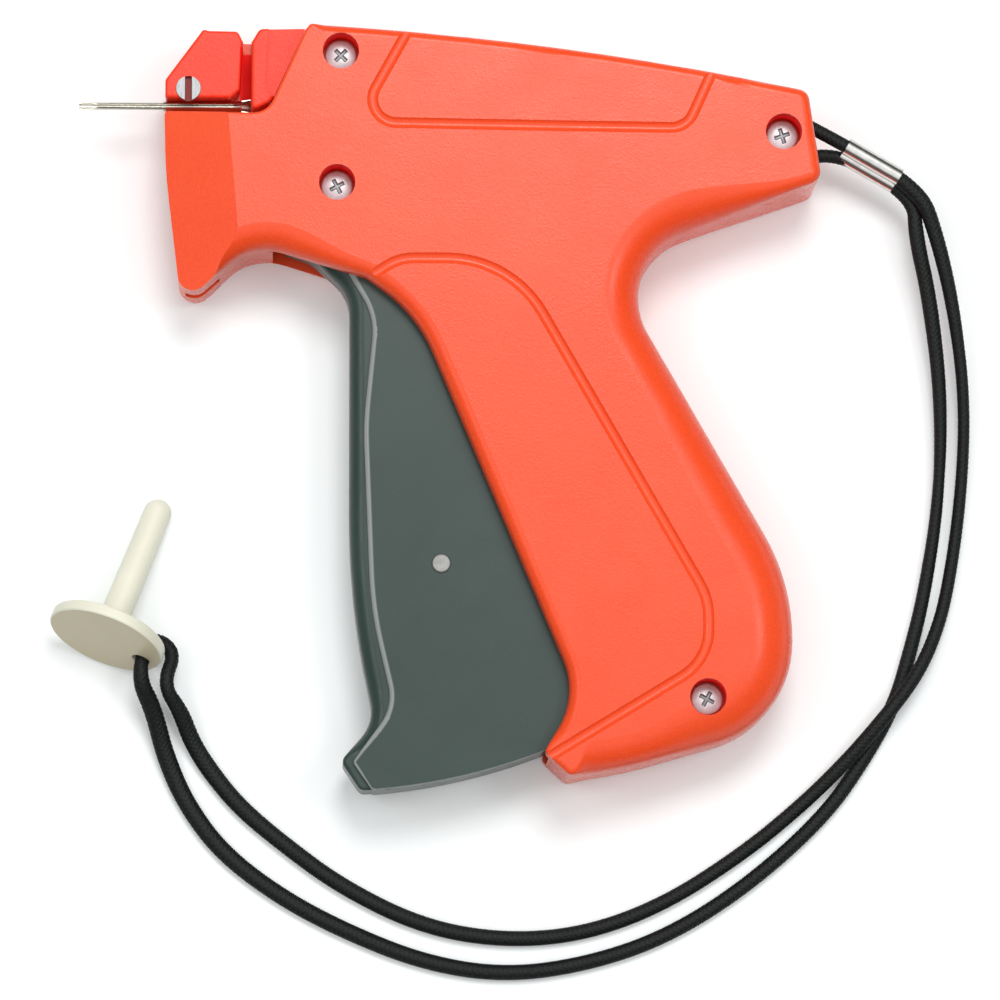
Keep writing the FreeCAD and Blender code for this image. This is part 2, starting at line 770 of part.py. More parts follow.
def make_screw(index, screw_px):
    """A cross-head screw: shank, pan head with a rounded top, and a cross cut into it."""
    centre = at(screw_px)
    label = "screw_%d" % index
    body = new_body(label, node=False)
    top = "Sizes.body_thickness - Sizes.screw_recess_depth"
    head = pad(body, round_sketch(body, label + "_head", centre, "Sizes.screw_head_radius", top),
               "Sizes.screw_head_height", down=True)
    document.recompute()
    level = size("body_thickness") - size("screw_recess_depth")
    fillet(body, head, edges_at(head.Shape, level), "Sizes.screw_head_rounding")
    shank = round_sketch(body, label + "_shank", centre, "Sizes.screw_shank_radius", top)
    pad(body, shank, "Sizes.screw_length", down=True)
    reach = size("cross_length") / 2
    slot = size("cross_width") / 2
    for turn, (wide, high) in enumerate(((reach, slot), (slot, reach))):
        cross = sketch(body, "%s_cross_%d" % (label, turn),
                       rectangle(centre.x - wide, centre.y - high, centre.x + wide,
                                 centre.y + high), top)
        pocket(body, cross, "Sizes.cross_depth")
    return body


screws = document.addObject("Part::Compound", "housing_screws")
screws.Label = "housing_screws"
screws.Links = [make_screw(index, screw_px) for index, screw_px in enumerate(SCREWS_PX)]
nodes["housing_screws"] = screws

# Nose: the block beside the needle, the guide behind the feed slot, and the needle's lock.

block = new_body("nose_block")
block_pad = pad(block, sketch(block, "block_outline", outline(NOSE_BLOCK), MIDDLE),
                "Sizes.nose_block_depth")
document.recompute()
fillet(block, block_pad, edges_at(block_pad.Shape, half + size("nose_block_depth")),
       "Sizes.nose_edge_rounding")
lock_top = MIDDLE + " + Sizes.nose_block_depth"
pocket(block, round_sketch(block, "lock_bore", at(LOCK_PX),
                           "Sizes.lock_shank_radius + Sizes.running_gap", lock_top),
       "Sizes.nose_block_depth")
pocket(block, round_sketch(block, "lock_counterbore", at(LOCK_PX),
                           "Sizes.lock_head_radius + Sizes.running_gap", lock_top),
       "Sizes.lock_head_height - Sizes.lock_head_stand")

guide = new_body("feed_guide_block")
guide_pad = pad(guide, sketch(guide, "guide_outline", outline(GUIDE_BLOCK), MIDDLE),
                "Sizes.guide_block_depth")
document.recompute()
fillet(guide, guide_pad, edges_at(guide_pad.Shape, half + size("guide_block_depth")),
       "Sizes.nose_edge_rounding")
guide_top = MIDDLE + " + Sizes.guide_block_depth"
pocket(guide, sketch(guide, "guide_dish", outline(GUIDE_DISH), guide_top),
       "Sizes.guide_dish_depth")
axis_height = half + size("needle_level")
axis_y = at(NEEDLE_TAIL_PX).y
rod_bore = round_sketch(guide, "rod_bore", Vector(axis_y, axis_height, 0),
                        "Sizes.rod_radius + Sizes.rod_gap", "0", "YZ_Plane")
pocket(guide, rod_bore, "Sizes.body_length")

lock_level = lock_top + " + Sizes.lock_head_stand"
lock = new_body("needle_lock_screw")
pad(lock, round_sketch(lock, "lock_head", at(LOCK_PX), "Sizes.lock_head_radius", lock_level),
    "Sizes.lock_head_height", down=True)
pad(lock, round_sketch(lock, "lock_shank", at(LOCK_PX), "Sizes.lock_shank_radius", lock_top),
    "Sizes.lock_depth", down=True)
lock_centre = at(LOCK_PX)
lock_slot_reach = size("lock_head_radius") + size("cut_overrun")
lock_slot = rectangle(lock_centre.x - size("lock_slot_width") / 2,
                      lock_centre.y - lock_slot_reach,
                      lock_centre.x + size("lock_slot_width") / 2,
                      lock_centre.y + lock_slot_reach)
pocket(lock, sketch(lock, "lock_slot", lock_slot, lock_level), "Sizes.lock_slot_depth")

# Needle: a slotted tube with a flared mouth, a point and a tang under it.

needle_tail = Placement(Vector(at(NEEDLE_TAIL_PX).x, axis_y, axis_height), Rotation())
needle = new_body("needle", needle_tail)
needle_length = at(NEEDLE_TAIL_PX).x - at((NOSE_FRONT_PX, 0)).x + size("needle_reach")
needle_wall = size("needle_radius") - size("needle_bore_radius")
mouth = size("needle_mouth_length")
hub_length = needle_length - size("needle_reach") + size("needle_hub_stand")
profile = [
    Vector(0, size("needle_mouth_radius") - needle_wall, 0),
    Vector(0, size("needle_mouth_radius"), 0),
    Vector(-mouth, size("needle_hub_radius"), 0),
    Vector(-hub_length, size("needle_hub_radius"), 0),
    Vector(-hub_length, size("needle_radius"), 0),
    Vector(-needle_length, size("needle_radius"), 0),
    Vector(-needle_length, size("needle_bore_radius"), 0),
    Vector(-mouth, size("needle_bore_radius"), 0),
]
revolution(needle, sketch(needle, "needle_profile", lines(profile)), "H_Axis")
groove_half = size("needle_groove") / 2
pocket(needle, sketch(needle, "needle_groove", rectangle(-needle_length - mouth, -groove_half,
                                                         mouth, groove_half),
                      "Sizes.needle_mouth_radius"), "Sizes.needle_mouth_radius")
mouth_reach = size("needle_mouth_radius") + size("cut_overrun")
top_half = rectangle(-size("needle_mouth_opening"), -mouth_reach, size("cut_overrun"), mouth_reach)
pocket(needle, sketch(needle, "needle_open_mouth", top_half, "Sizes.needle_mouth_radius"),
       "Sizes.needle_mouth_radius - Sizes.needle_mouth_lip")
scoop_front = -needle_length - size("cut_overrun")
scoop_rear = -needle_length + size("needle_point_length")
scoop_top = size("needle_radius") + size("cut_overrun")
scoop_floor = -size("needle_point_depth")
scoop = [Vector(scoop_front, scoop_top, 0),
         Vector(scoop_rear, scoop_top, 0),
         Vector(scoop_rear, size("needle_radius"), 0),
         Vector(-needle_length, scoop_floor, 0),
         Vector(scoop_front, scoop_floor, 0)]
pocket(needle, sketch(needle, "needle_scoop", lines(scoop),
                      "-Sizes.needle_radius - Sizes.cut_overrun", "XZ_Plane"),
       "2 * (Sizes.needle_radius + Sizes.cut_overrun)", up=True)
tang_sketch = box_sketch(needle, "needle_tang", -size("tang_start"), size("tang_length"), 0,
                         size("tang_width"), 0, "-Sizes.needle_bore_radius")
pad(needle, tang_sketch,
    "Sizes.needle_level + Sizes.tang_depth - Sizes.needle_bore_radius", down=True)

# Trigger: two plates joined by a crowned front, hung on the front screw's post.

trigger = new_body("trigger")
rim_low = half - size("trigger_width") / 2
rim_high = half + size("trigger_width") / 2
rim = rounded_block("trigger_rim", TRIGGER_RIM, rim_low, "Sizes.trigger_width",
                    [rim_low, rim_high])
crown_low = half - size("crown_width") / 2
crown_high = half + size("crown_width") / 2
crown = rounded_block("trigger_crown", TRIGGER_CROWN, crown_low, "Sizes.crown_width",
                      [crown_low, crown_high])
trigger_blank = document.addObject("Part::MultiFuse", "trigger_blank")
trigger_blank.Shapes = [rim, crown]
document.recompute()
trigger.BaseFeature = trigger_blank
document.recompute()
rim_top = MIDDLE + " + Sizes.trigger_width / 2"
pad(trigger, round_sketch(trigger, "trigger_eye", at(TRIGGER_PIVOT_PX),
                          "Sizes.collar_radius + Sizes.trigger_plate", rim_top),
    "Sizes.trigger_width", down=True)
pocket(trigger, sketch(trigger, "trigger_hollow", outline(TRIGGER_HOLLOW),
                       rim_top + " - Sizes.trigger_plate"),
       "Sizes.trigger_width - 2 * Sizes.trigger_plate")
pocket(trigger, round_sketch(trigger, "trigger_bore", at(TRIGGER_PIVOT_PX),
                             "Sizes.collar_radius + Sizes.pivot_gap", rim_top),
       "Sizes.trigger_width")
pocket(trigger, round_sketch(trigger, "pin_hole", at(DRIVE_PIN_PX),
                             "Sizes.drive_pin_radius", rim_top),
       "Sizes.trigger_width")


def ribbon(path, reach):
    """The closed outline at a constant reach from a smooth path, with round ends."""
    sides = {}
    for side in (1, -1):
        points = []
        for index, point in enumerate(path):
            before = path[max(index - 1, 0)]
            after = path[min(index + 1, len(path) - 1)]
            along = (after - before).normalize()
            points.append(point + Vector(-along.y, along.x, 0) * (side * reach))
        curve = Part.BSplineCurve()
        curve.interpolate(points)
        sides[side] = (curve, points)
    first = (path[0] - path[1]).normalize() * reach + path[0]
    last = (path[-1] - path[-2]).normalize() * reach + path[-1]
    return [sides[1][0],
            Part.Arc(sides[1][1][-1], last, sides[-1][1][-1]),
            sides[-1][0],
            Part.Arc(sides[-1][1][0], first, sides[1][1][0])]


# The trigger's plates clear the lever's shaft, which crosses them as they swing.

trigger_centre = at(TRIGGER_PIVOT_PX)
lever_centre = at(LEVER_PIVOT_PX)
shaft_path = [turned(lever_centre, trigger_centre, -TRIGGER_TRAVEL_DEG * step / PATH_STEPS)
              for step in range(PATH_STEPS + 1)]
pocket(trigger, sketch(trigger, "shaft_notch",
                       ribbon(shaft_path, size("lever_pin_radius") + size("trigger_side_gap")),
                       rim_top), "Sizes.trigger_width")

drive_pin = new_body("trigger_drive_pin")
pad(drive_pin, round_sketch(drive_pin, "drive_pin_section", at(DRIVE_PIN_PX),
                            "Sizes.drive_pin_radius", rim_top + " + Sizes.trigger_side_gap / 2"),
    "Sizes.trigger_width + Sizes.trigger_side_gap", down=True)

# Lever: its slots are the paths of both pins while they keep a constant ratio to its turn.

drive_path = []
slide_path = []
for step in range(PATH_STEPS + 1):
    share = step / PATH_STEPS
    drive = turned(at(DRIVE_PIN_PX), trigger_centre, TRIGGER_TRAVEL_DEG * share)
    drive_path.append(turned(drive, lever_centre, -LEVER_SWING_DEG * share))
    pushed = slide_centre - Vector(size("ejector_stroke") * share, 0, 0)
    slide_path.append(turned(pushed, lever_centre, -LEVER_SWING_DEG * share))
lever = new_body("drive_lever")
lever_top = MIDDLE + " + Sizes.lever_thickness / 2"
pad(lever, round_sketch(lever, "lever_hub", lever_centre, "Sizes.lever_hub_radius",
                        MIDDLE + " + Sizes.lever_hub_length / 2"),
    "Sizes.lever_hub_length", down=True)
lower_arm = ribbon([lever_centre] + drive_path[::-1], size("lever_arm_radius"))
pad(lever, sketch(lever, "lower_arm", lower_arm, lever_top), "Sizes.lever_thickness", down=True)
slide_aim = (slide_path[0] + slide_path[-1] - lever_centre * 2).normalize()
inner_end = min(place.sub(lever_centre).dot(slide_aim) for place in slide_path)
outer_end = max(place.sub(lever_centre).dot(slide_aim) for place in slide_path)
tip_in = lever_centre + slide_aim * inner_end
tip_out = lever_centre + slide_aim * outer_end
upper_arm = ribbon([lever_centre, (lever_centre + tip_out) / 2, tip_out],
                   size("lever_tip_radius"))
pad(lever, sketch(lever, "upper_arm", upper_arm, lever_top), "Sizes.lever_thickness", down=True)
pocket(lever, sketch(lever, "drive_slot",
                     ribbon(drive_path, size("drive_pin_radius") + size("cam_gap")), lever_top),
       "Sizes.lever_thickness")
slide_offset = max(abs(place.sub(lever_centre).cross(slide_aim).z) for place in slide_path)
pocket(lever, sketch(lever, "slide_slot",
                     ribbon([tip_in, (tip_in + tip_out) / 2, tip_out],
                            size("slide_pin_radius") + size("cam_gap") + slide_offset),
                     lever_top), "Sizes.lever_thickness")
pocket(lever, round_sketch(lever, "lever_bore", lever_centre,
                           "Sizes.lever_pin_radius + Sizes.running_gap",
                           MIDDLE + " + Sizes.lever_hub_length / 2"),
       "Sizes.lever_hub_length")

lever_pin = new_body("lever_pivot_pin")
pad(lever_pin, round_sketch(lever_pin, "lever_pin_section", lever_centre,
                            "Sizes.lever_pin_radius",
                            "Sizes.side_wall / 2"),
    "Sizes.body_thickness - Sizes.side_wall")

# Ejector: slide, pin, rod and return spring.

slide = new_body("ejector_slide")
slide_x = size("slide_length") / 2
slide_y = size("slide_height") / 2
slide_top = MIDDLE + " + Sizes.slide_depth / 2"
pad(slide, sketch(slide, "slide_outline",
                  rectangle(slide_centre.x - slide_x, slide_centre.y - slide_y,
                            slide_centre.x + slide_x, slide_centre.y + slide_y),
                  slide_top), "Sizes.slide_depth", down=True)
slide_window = size("slide_window") / 2
window_top = MIDDLE + " + Sizes.lever_thickness / 2 + 2 * Sizes.slide_gap"
pocket(slide, sketch(slide, "slide_window",
                     rectangle(slide_centre.x - slide_window, slide_centre.y - slide_x,
                               slide_centre.x + slide_window, slide_centre.y + slide_x),
                     window_top), "Sizes.lever_thickness + 4 * Sizes.slide_gap")
pocket(slide, round_sketch(slide, "slide_pin_hole", slide_centre, "Sizes.slide_pin_radius",
                           slide_top), "Sizes.slide_depth")
slide_pin = new_body("slide_pin")
pad(slide_pin, round_sketch(slide_pin, "slide_pin_section", slide_centre,
                            "Sizes.slide_pin_radius", slide_top), "Sizes.slide_depth", down=True)

slide_front = slide_centre.x - slide_x
pocket(slide, round_sketch(slide, "rod_seat", Vector(axis_y, axis_height, 0), "Sizes.rod_radius",
                           str(slide_front), "YZ_Plane"), "Sizes.rod_seat", up=True)
rod_start = at(ROD_TIP_PX).x
rod_length = slide_front + size("rod_seat") - rod_start
rod_place = Placement(Vector(rod_start, axis_y, axis_height), Rotation())
rod = new_body("ejector_rod", rod_place)
pad(rod, round_sketch(rod, "rod_section", Vector(), "Sizes.rod_radius", "0", "YZ_Plane"),
    str(rod_length))

# Feed: a toothed wheel on an axle and a sprung pawl.

wheel_place = Placement(at(FEED_WHEEL_PX), Rotation())
wheel = new_body("feed_wheel", wheel_place)
wheel_top = MIDDLE + " + Sizes.feed_wheel_width / 2"
pad(wheel, round_sketch(wheel, "wheel_root", Vector(), "Sizes.feed_wheel_root", wheel_top),
    "Sizes.feed_wheel_width", down=True)
tooth_half = size("feed_tooth_width") / 2
tooth_points = [Vector(size("feed_wheel_root") / 2, -tooth_half, 0),
                Vector(size("feed_wheel_root"), -tooth_half, 0),
                Vector(size("feed_wheel_radius"), -tooth_half, 0),
                Vector(size("feed_wheel_root"), tooth_half, 0),
                Vector(size("feed_wheel_root") / 2, tooth_half, 0)]
tooth = pad(wheel, sketch(wheel, "wheel_tooth", lines(tooth_points), wheel_top),
            "Sizes.feed_wheel_width", down=True)
document.recompute()
ring = wheel.newObject("PartDesign::PolarPattern", "wheel_teeth")
ring.Originals = [tooth]
ring.Axis = (origin_plane(wheel, "Z_Axis"), [""])
ring.Angle = 360
ring.Occurrences = FEED_TEETH
wheel.Tip = ring
document.recompute()
pocket(wheel, round_sketch(wheel, "wheel_bore", Vector(),
                           "Sizes.axle_radius + Sizes.running_gap", wheel_top),
       "Sizes.feed_wheel_width")
axle = new_body("feed_wheel_axle")
axle_top = MIDDLE + " + Sizes.axle_length / 2"
pad(axle, round_sketch(axle, "axle_section", at(FEED_WHEEL_PX), "Sizes.axle_radius", axle_top),
    "Sizes.axle_length", down=True)

pawl = new_body("feed_pawl")
pawl_top = MIDDLE + " + Sizes.pawl_width / 2"
pad(pawl, sketch(pawl, "pawl_outline", outline(PAWL), pawl_top), "Sizes.pawl_width", down=True)
pocket(pawl, round_sketch(pawl, "pawl_bore", at(PAWL_PIN_PX),
                          "Sizes.pawl_pin_radius + Sizes.running_gap", pawl_top),
       "Sizes.pawl_width")
pawl_pin = new_body("pawl_pin")
pad(pawl_pin, round_sketch(pawl_pin, "pawl_pin_section", at(PAWL_PIN_PX),
                           "Sizes.pawl_pin_radius", axle_top), "Sizes.axle_length", down=True)
leaf = new_body("pawl_spring")
pad(leaf, sketch(leaf, "leaf_outline", band(LEAF, size("leaf_thickness")), pawl_top),
    "Sizes.pawl_width", down=True)

# Return spring: a coil round the rod, between the nose and the slide.

spring_start = at(SPRING_SEAT_PX).x
spring_place = Placement(Vector(spring_start, axis_y, axis_height), Rotation())
spring = new_body("return_spring", spring_place)
wire = size("spring_wire") / 2
coil = circle(Vector(wire, size("spring_radius") - wire, 0), wire)
spring_height = slide_front - spring_start - size("spring_wire") - size("spring_end_gap")
helix = spring.newObject("PartDesign::AdditiveHelix", "spring_coil")
helix.Profile = sketch(spring, "spring_section", coil)
helix.ReferenceAxis = (origin_plane(spring, "X_Axis"), [""])
helix.Mode = "height-turns-angle"
helix.Height = spring_height
helix.Turns = SPRING_TURNS
spring.Tip = helix

# Needle cap: a disc with a hollow pin, lying on the edge of its disc and the tip of its pin.

cap_radius = size("cap_disc_radius")
pin_radius = size("cap_pin_radius")
cap_disc = size("cap_disc_thickness")
cap_tilt = math.atan2(cap_radius - pin_radius, size("cap_length") - pin_radius - cap_disc)
face_height = cap_radius * math.cos(cap_tilt) + cap_disc * math.sin(cap_tilt)
cap_face = seen(CAP_FACE_PX, face_height)
toward = seen(CAP_TIP_PX, pin_radius) - cap_face
toward = Vector(toward.x, toward.y, 0).normalize()
cap_axis = toward * math.cos(cap_tilt) - Vector(0, 0, math.sin(cap_tilt))
cap_up = toward * math.sin(cap_tilt) + Vector(0, 0, math.cos(cap_tilt))
cap_place = Placement(cap_face, Rotation(cap_axis, cap_up.cross(cap_axis), cap_up, "XYZ"))
cap = new_body("needle_cap", cap_place)
cap_end = size("cap_length")
diagonal = pin_radius * math.cos(math.pi / 4)
cap_profile = [
    Part.LineSegment(Vector(), Vector(0, cap_radius, 0)),
    Part.LineSegment(Vector(0, cap_radius, 0), Vector(cap_disc, cap_radius, 0)),
    Part.LineSegment(Vector(cap_disc, cap_radius, 0), Vector(cap_disc, size("cap_root_radius"), 0)),
    Part.LineSegment(Vector(cap_disc, size("cap_root_radius"), 0),
                     Vector(cap_end - pin_radius, pin_radius, 0)),
    Part.Arc(Vector(cap_end - pin_radius, pin_radius, 0),
             Vector(cap_end - pin_radius + diagonal, diagonal, 0), Vector(cap_end, 0, 0)),
    Part.LineSegment(Vector(cap_end, 0, 0), Vector()),
]
cap_turned = revolution(cap, sketch(cap, "cap_profile", cap_profile), "H_Axis")
document.recompute()
rim_fillet = fillet(cap, cap_turned, ring_edges(cap_turned.Shape, cap_radius),
                    "Sizes.cap_rounding")
document.recompute()
fillet(cap, rim_fillet, ring_edges(rim_fillet.Shape, size("cap_root_radius")),
       "Sizes.cap_root_fillet")
pocket(cap, round_sketch(cap, "cap_bore", Vector(), "Sizes.cap_bore_radius", "Sizes.cap_length",
                         "YZ_Plane"), "Sizes.cap_bore_depth")
hole_turn = math.radians(CAP_HOLE_DEG)
hole_centre = Vector(-math.cos(hole_turn), -math.sin(hole_turn), 0) * size("cap_hole_offset")
pocket(cap, round_sketch(cap, "cap_hole", hole_centre, "Sizes.cap_hole_radius",
                         "Sizes.cap_disc_thickness + Sizes.cut_overrun", "YZ_Plane"),
       "Sizes.cap_disc_thickness + 2 * Sizes.cut_overrun")


def cap_point(along, out):
    """A place beside the cap: along its axis and out from it through the cord's hole."""
    return cap_place.multVec(Vector(along, -out * math.cos(hole_turn), -out * math.sin(hole_turn)))


# Ferrule: a tube crimped to two lobes, one round each strand.

ferrule_start = seen(FERRULE_PX, size("ferrule_height"))
ferrule_end = seen(FERRULE_END_PX, size("ferrule_height") - size("ferrule_drop"))
ferrule_axis = (ferrule_end - ferrule_start).normalize()
ferrule_level = Vector(0, 0, 1).cross(ferrule_axis).normalize()
ferrule_side = Rotation(ferrule_axis, FERRULE_ROLL_DEG).multVec(ferrule_level)
ferrule_place = Placement(ferrule_start, Rotation(ferrule_axis, ferrule_side,
                                                  ferrule_axis.cross(ferrule_side), "XYZ"))
ferrule = new_body("ferrule", ferrule_place)
lobe = size("ferrule_bore_radius") + size("ferrule_wall")
spread = size("ferrule_spread")
waist = math.sqrt(lobe * lobe - spread * spread)
lobes = [Part.Arc(Vector(0, waist, 0), Vector(spread + lobe, 0, 0), Vector(0, -waist, 0)),
         Part.Arc(Vector(0, -waist, 0), Vector(-spread - lobe, 0, 0), Vector(0, waist, 0))]
pad(ferrule, sketch(ferrule, "ferrule_lobes", lobes, "0", "YZ_Plane"), "Sizes.ferrule_length")
for side in (-1, 1):
    bore = round_sketch(ferrule, "ferrule_bore_%s" % ("low" if side < 0 else "high"),
                        Vector(side * spread, 0, 0), "Sizes.ferrule_bore_radius",
                        "Sizes.ferrule_length + Sizes.cut_overrun", "YZ_Plane")
    pocket(ferrule, bore, "Sizes.ferrule_length + 2 * Sizes.cut_overrun")


def ferrule_point(along, side):
    return ferrule_place.multVec(Vector(along, side * spread, 0))


# Lanyard: one strand out of the rear window, through the ferrule, round the cap and back.

# Corners of the two strands: a pixel and a height in pixels, zero where the strand lies flat.

floor = size("cord_radius") + size("running_gap")
lead = size("ferrule_lead")
exit_run = size("ferrule_length") + size("ferrule_exit")
BIGHT_PX = [(800.0, 105.7), (761.4, 104.9), (761.4, 154.1), (800.0, 153.2)]
INNER_STRAND = [
    ((917.0, 238.0), 49.2), ((930.0, 298.0), 36.0), ((941.0, 398.0), 20.4), ((938.0, 500.0), 10.8),
    ((922.0, 598.0), 0.0), ((907.0, 655.0), 0.0), ((893.0, 703.0), 0.0), ((863.0, 757.0), 0.0),
    ((820.0, 818.0), 0.0), ((740.0, 888.0), 0.0), ((660.0, 937.0), 0.0), ((580.0, 963.0), 0.0),
    ((500.0, 973.0), 0.0), ((420.0, 960.0), 0.0), ((340.0, 928.0), 0.0), ((278.0, 895.0), 0.0),
    ((222.0, 853.0), 0.0), ((186.0, 805.0), 0.0), ((165.0, 757.0), 9.6), ((154.0, 712.0), 27.6),
]
OUTER_STRAND = [
    ((181.0, 714.0), 25.2), ((191.0, 742.0), 12.0), ((208.0, 770.0), 0.0), ((238.0, 807.0), 0.0),
    ((280.0, 842.0), 0.0), ((340.0, 886.0), 0.0), ((420.0, 925.0), 0.0), ((500.0, 939.0), 0.0),
    ((580.0, 933.0), 0.0), ((660.0, 904.0), 0.0), ((740.0, 853.0), 0.0), ((800.0, 804.0), 0.0),
    ((846.0, 759.0), 17.4), ((882.0, 718.0), 25.8), ((912.0, 680.0), 25.8), ((930.0, 645.0), 16.2),
    ((945.0, 598.0), 9.0), ((960.0, 500.0), 11.4), ((965.0, 402.0), 21.0), ((954.0, 306.0), 37.2),
    ((938.0, 236.0), 50.4),
]


def strand(rows):
    """The places of a strand's corners; one with no height lies on the table."""
    return [seen(pixel, height_px * scale if height_px else floor) for pixel, height_px in rows]


def cord_wire(corners, radii):
    """Straight runs joined by tangent arcs, one arc at each inner corner."""
    edges = []
    last = corners[0]
    for index in range(1, len(corners) - 1):
        point = corners[index]
        back = corners[index - 1] - point
        on = corners[index + 1] - point
        half_turn = (math.pi - back.getAngle(on)) / 2
        tangent = min(back.Length, on.Length) * TANGENT_SHARE
        radius = tangent / math.tan(half_turn)
        back.normalize()
        on.normalize()
        centre = point + (back + on).normalize() * (radius / math.cos(half_turn))
        middle = centre + (point - centre).normalize() * radius
        start = point + back * tangent
        edges.append(Part.LineSegment(last, start).toShape())
        edges.append(Part.Arc(start, middle, point + on * tangent).toShape())
        last = point + on * tangent
        radii.append(radius)
    edges.append(Part.LineSegment(last, corners[-1]).toShape())
    return Part.Wire(edges)


def cord(label, corners):
    """A round cord along its wire, with its radii and its volume checked."""
    radii = []
    route = document.addObject("Part::Feature", label + "_route")
    route.Shape = cord_wire(corners, radii)
    section = document.addObject("Part::Circle", label + "_section")
    section.setExpression("Radius", "Sizes.cord_radius")
    start = (corners[1] - corners[0]).normalize()
    section.Placement = Placement(corners[0], Rotation(Vector(0, 0, 1), start))
    sweep = document.addObject("Part::Sweep", label)
    sweep.Sections = [section]
    sweep.Spine = (route, ["Edge%d" % (index + 1) for index in range(len(route.Shape.Edges))])
    sweep.Solid = True
    sweep.Frenet = False
    sweep.Label = label
    document.recompute()
    nodes[label] = sweep
    expected = math.pi * size("cord_radius") ** 2 * route.Shape.Length
    print(label, "length", round(route.Shape.Length, 1), "least radius", round(min(radii), 2),
          "volume share", round(sweep.Shape.Volume / expected, 4))
    print(label, "corners", [[round(value, 2) for value in corner] for corner in corners])
    return sweep


outer_start, bight_top, bight_low, inner_start = (at(pixel, half) for pixel in BIGHT_PX)
bight_gap = Vector(size("bight_gap"), 0, 0)
bight = cord("lanyard_bight", [outer_start - bight_gap, bight_top, bight_low,
                               inner_start - bight_gap])
fold_in = size("cap_hole_offset")
lanyard = cord("lanyard_cord", (
    [inner_start, ferrule_point(-lead, -1), ferrule_point(exit_run, -1)]
    + strand(INNER_STRAND)
    + [cap_point(-size("fold_lead"), fold_in + size("fold_lead_slant")),
       cap_point(size("fold_top"), fold_in - size("fold_top_slant")),
       cap_point(size("fold_top"), size("fold_outer")),
       cap_point(-cap_disc, size("fold_outer"))]
    + strand(OUTER_STRAND)
    + [ferrule_point(exit_run, 1), ferrule_point(-lead, 1), outer_start]))

# Checks and files.

document.recompute()
broken = [item.Name for item in document.Objects
          if "Invalid" in item.State or "Error" in item.State]
for label, item in nodes.items():
    if item.Shape.isNull() or not item.Shape.isValid():
        broken.append(label)
print("broken:", broken)
bounds = FreeCAD.BoundBox()
soft = ("lanyard_cord", "lanyard_bight", "needle_cap", "ferrule")
for label, item in nodes.items():
    if label in broken:
        continue
    print(label, len(item.Shape.Solids), round(item.Shape.Volume, 1))
    if label not in soft:
        bounds.add(item.Shape.BoundBox)
print("bounds", bounds)
if broken:
    raise ValueError("not valid: " + ", ".join(broken))
os.makedirs("parts", exist_ok=True)
for label, item in nodes.items():
    item.Shape.exportStep("parts/%s.step" % label)
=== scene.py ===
import math

import bpy
import numpy as np
from mathutils import Matrix, Vector


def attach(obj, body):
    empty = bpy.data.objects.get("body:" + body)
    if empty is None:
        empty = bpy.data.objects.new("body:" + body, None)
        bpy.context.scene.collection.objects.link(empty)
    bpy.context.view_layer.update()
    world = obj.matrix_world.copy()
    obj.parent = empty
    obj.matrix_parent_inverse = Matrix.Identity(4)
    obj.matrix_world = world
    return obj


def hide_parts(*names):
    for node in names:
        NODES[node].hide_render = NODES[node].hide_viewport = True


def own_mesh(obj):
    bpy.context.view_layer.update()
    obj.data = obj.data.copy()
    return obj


# A garment tag attacher lying on its side on a pale table, in metres.
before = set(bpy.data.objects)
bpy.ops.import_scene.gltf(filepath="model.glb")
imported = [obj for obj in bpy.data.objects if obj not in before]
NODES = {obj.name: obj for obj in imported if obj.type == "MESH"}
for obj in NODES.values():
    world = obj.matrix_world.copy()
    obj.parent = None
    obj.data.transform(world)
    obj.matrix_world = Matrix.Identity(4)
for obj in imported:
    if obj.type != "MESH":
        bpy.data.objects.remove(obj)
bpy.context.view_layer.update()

IMAGE_WIDTH_ON_TOP = 0.16656         # width of the picture at the height of the tool's upper side
TOP_HEIGHT = 0.022
VIEW_CENTRE = Vector((0.008465, -0.01606, TOP_HEIGHT))
CAMERA_OFFSET = Vector((-0.0325, -0.1359, 1.1815))
SENSOR_MILLIMETRES = 36.0
CLIP_NEAR = 0.01
CLIP_FAR = 20

CORD_DIAMETER = 0.0024
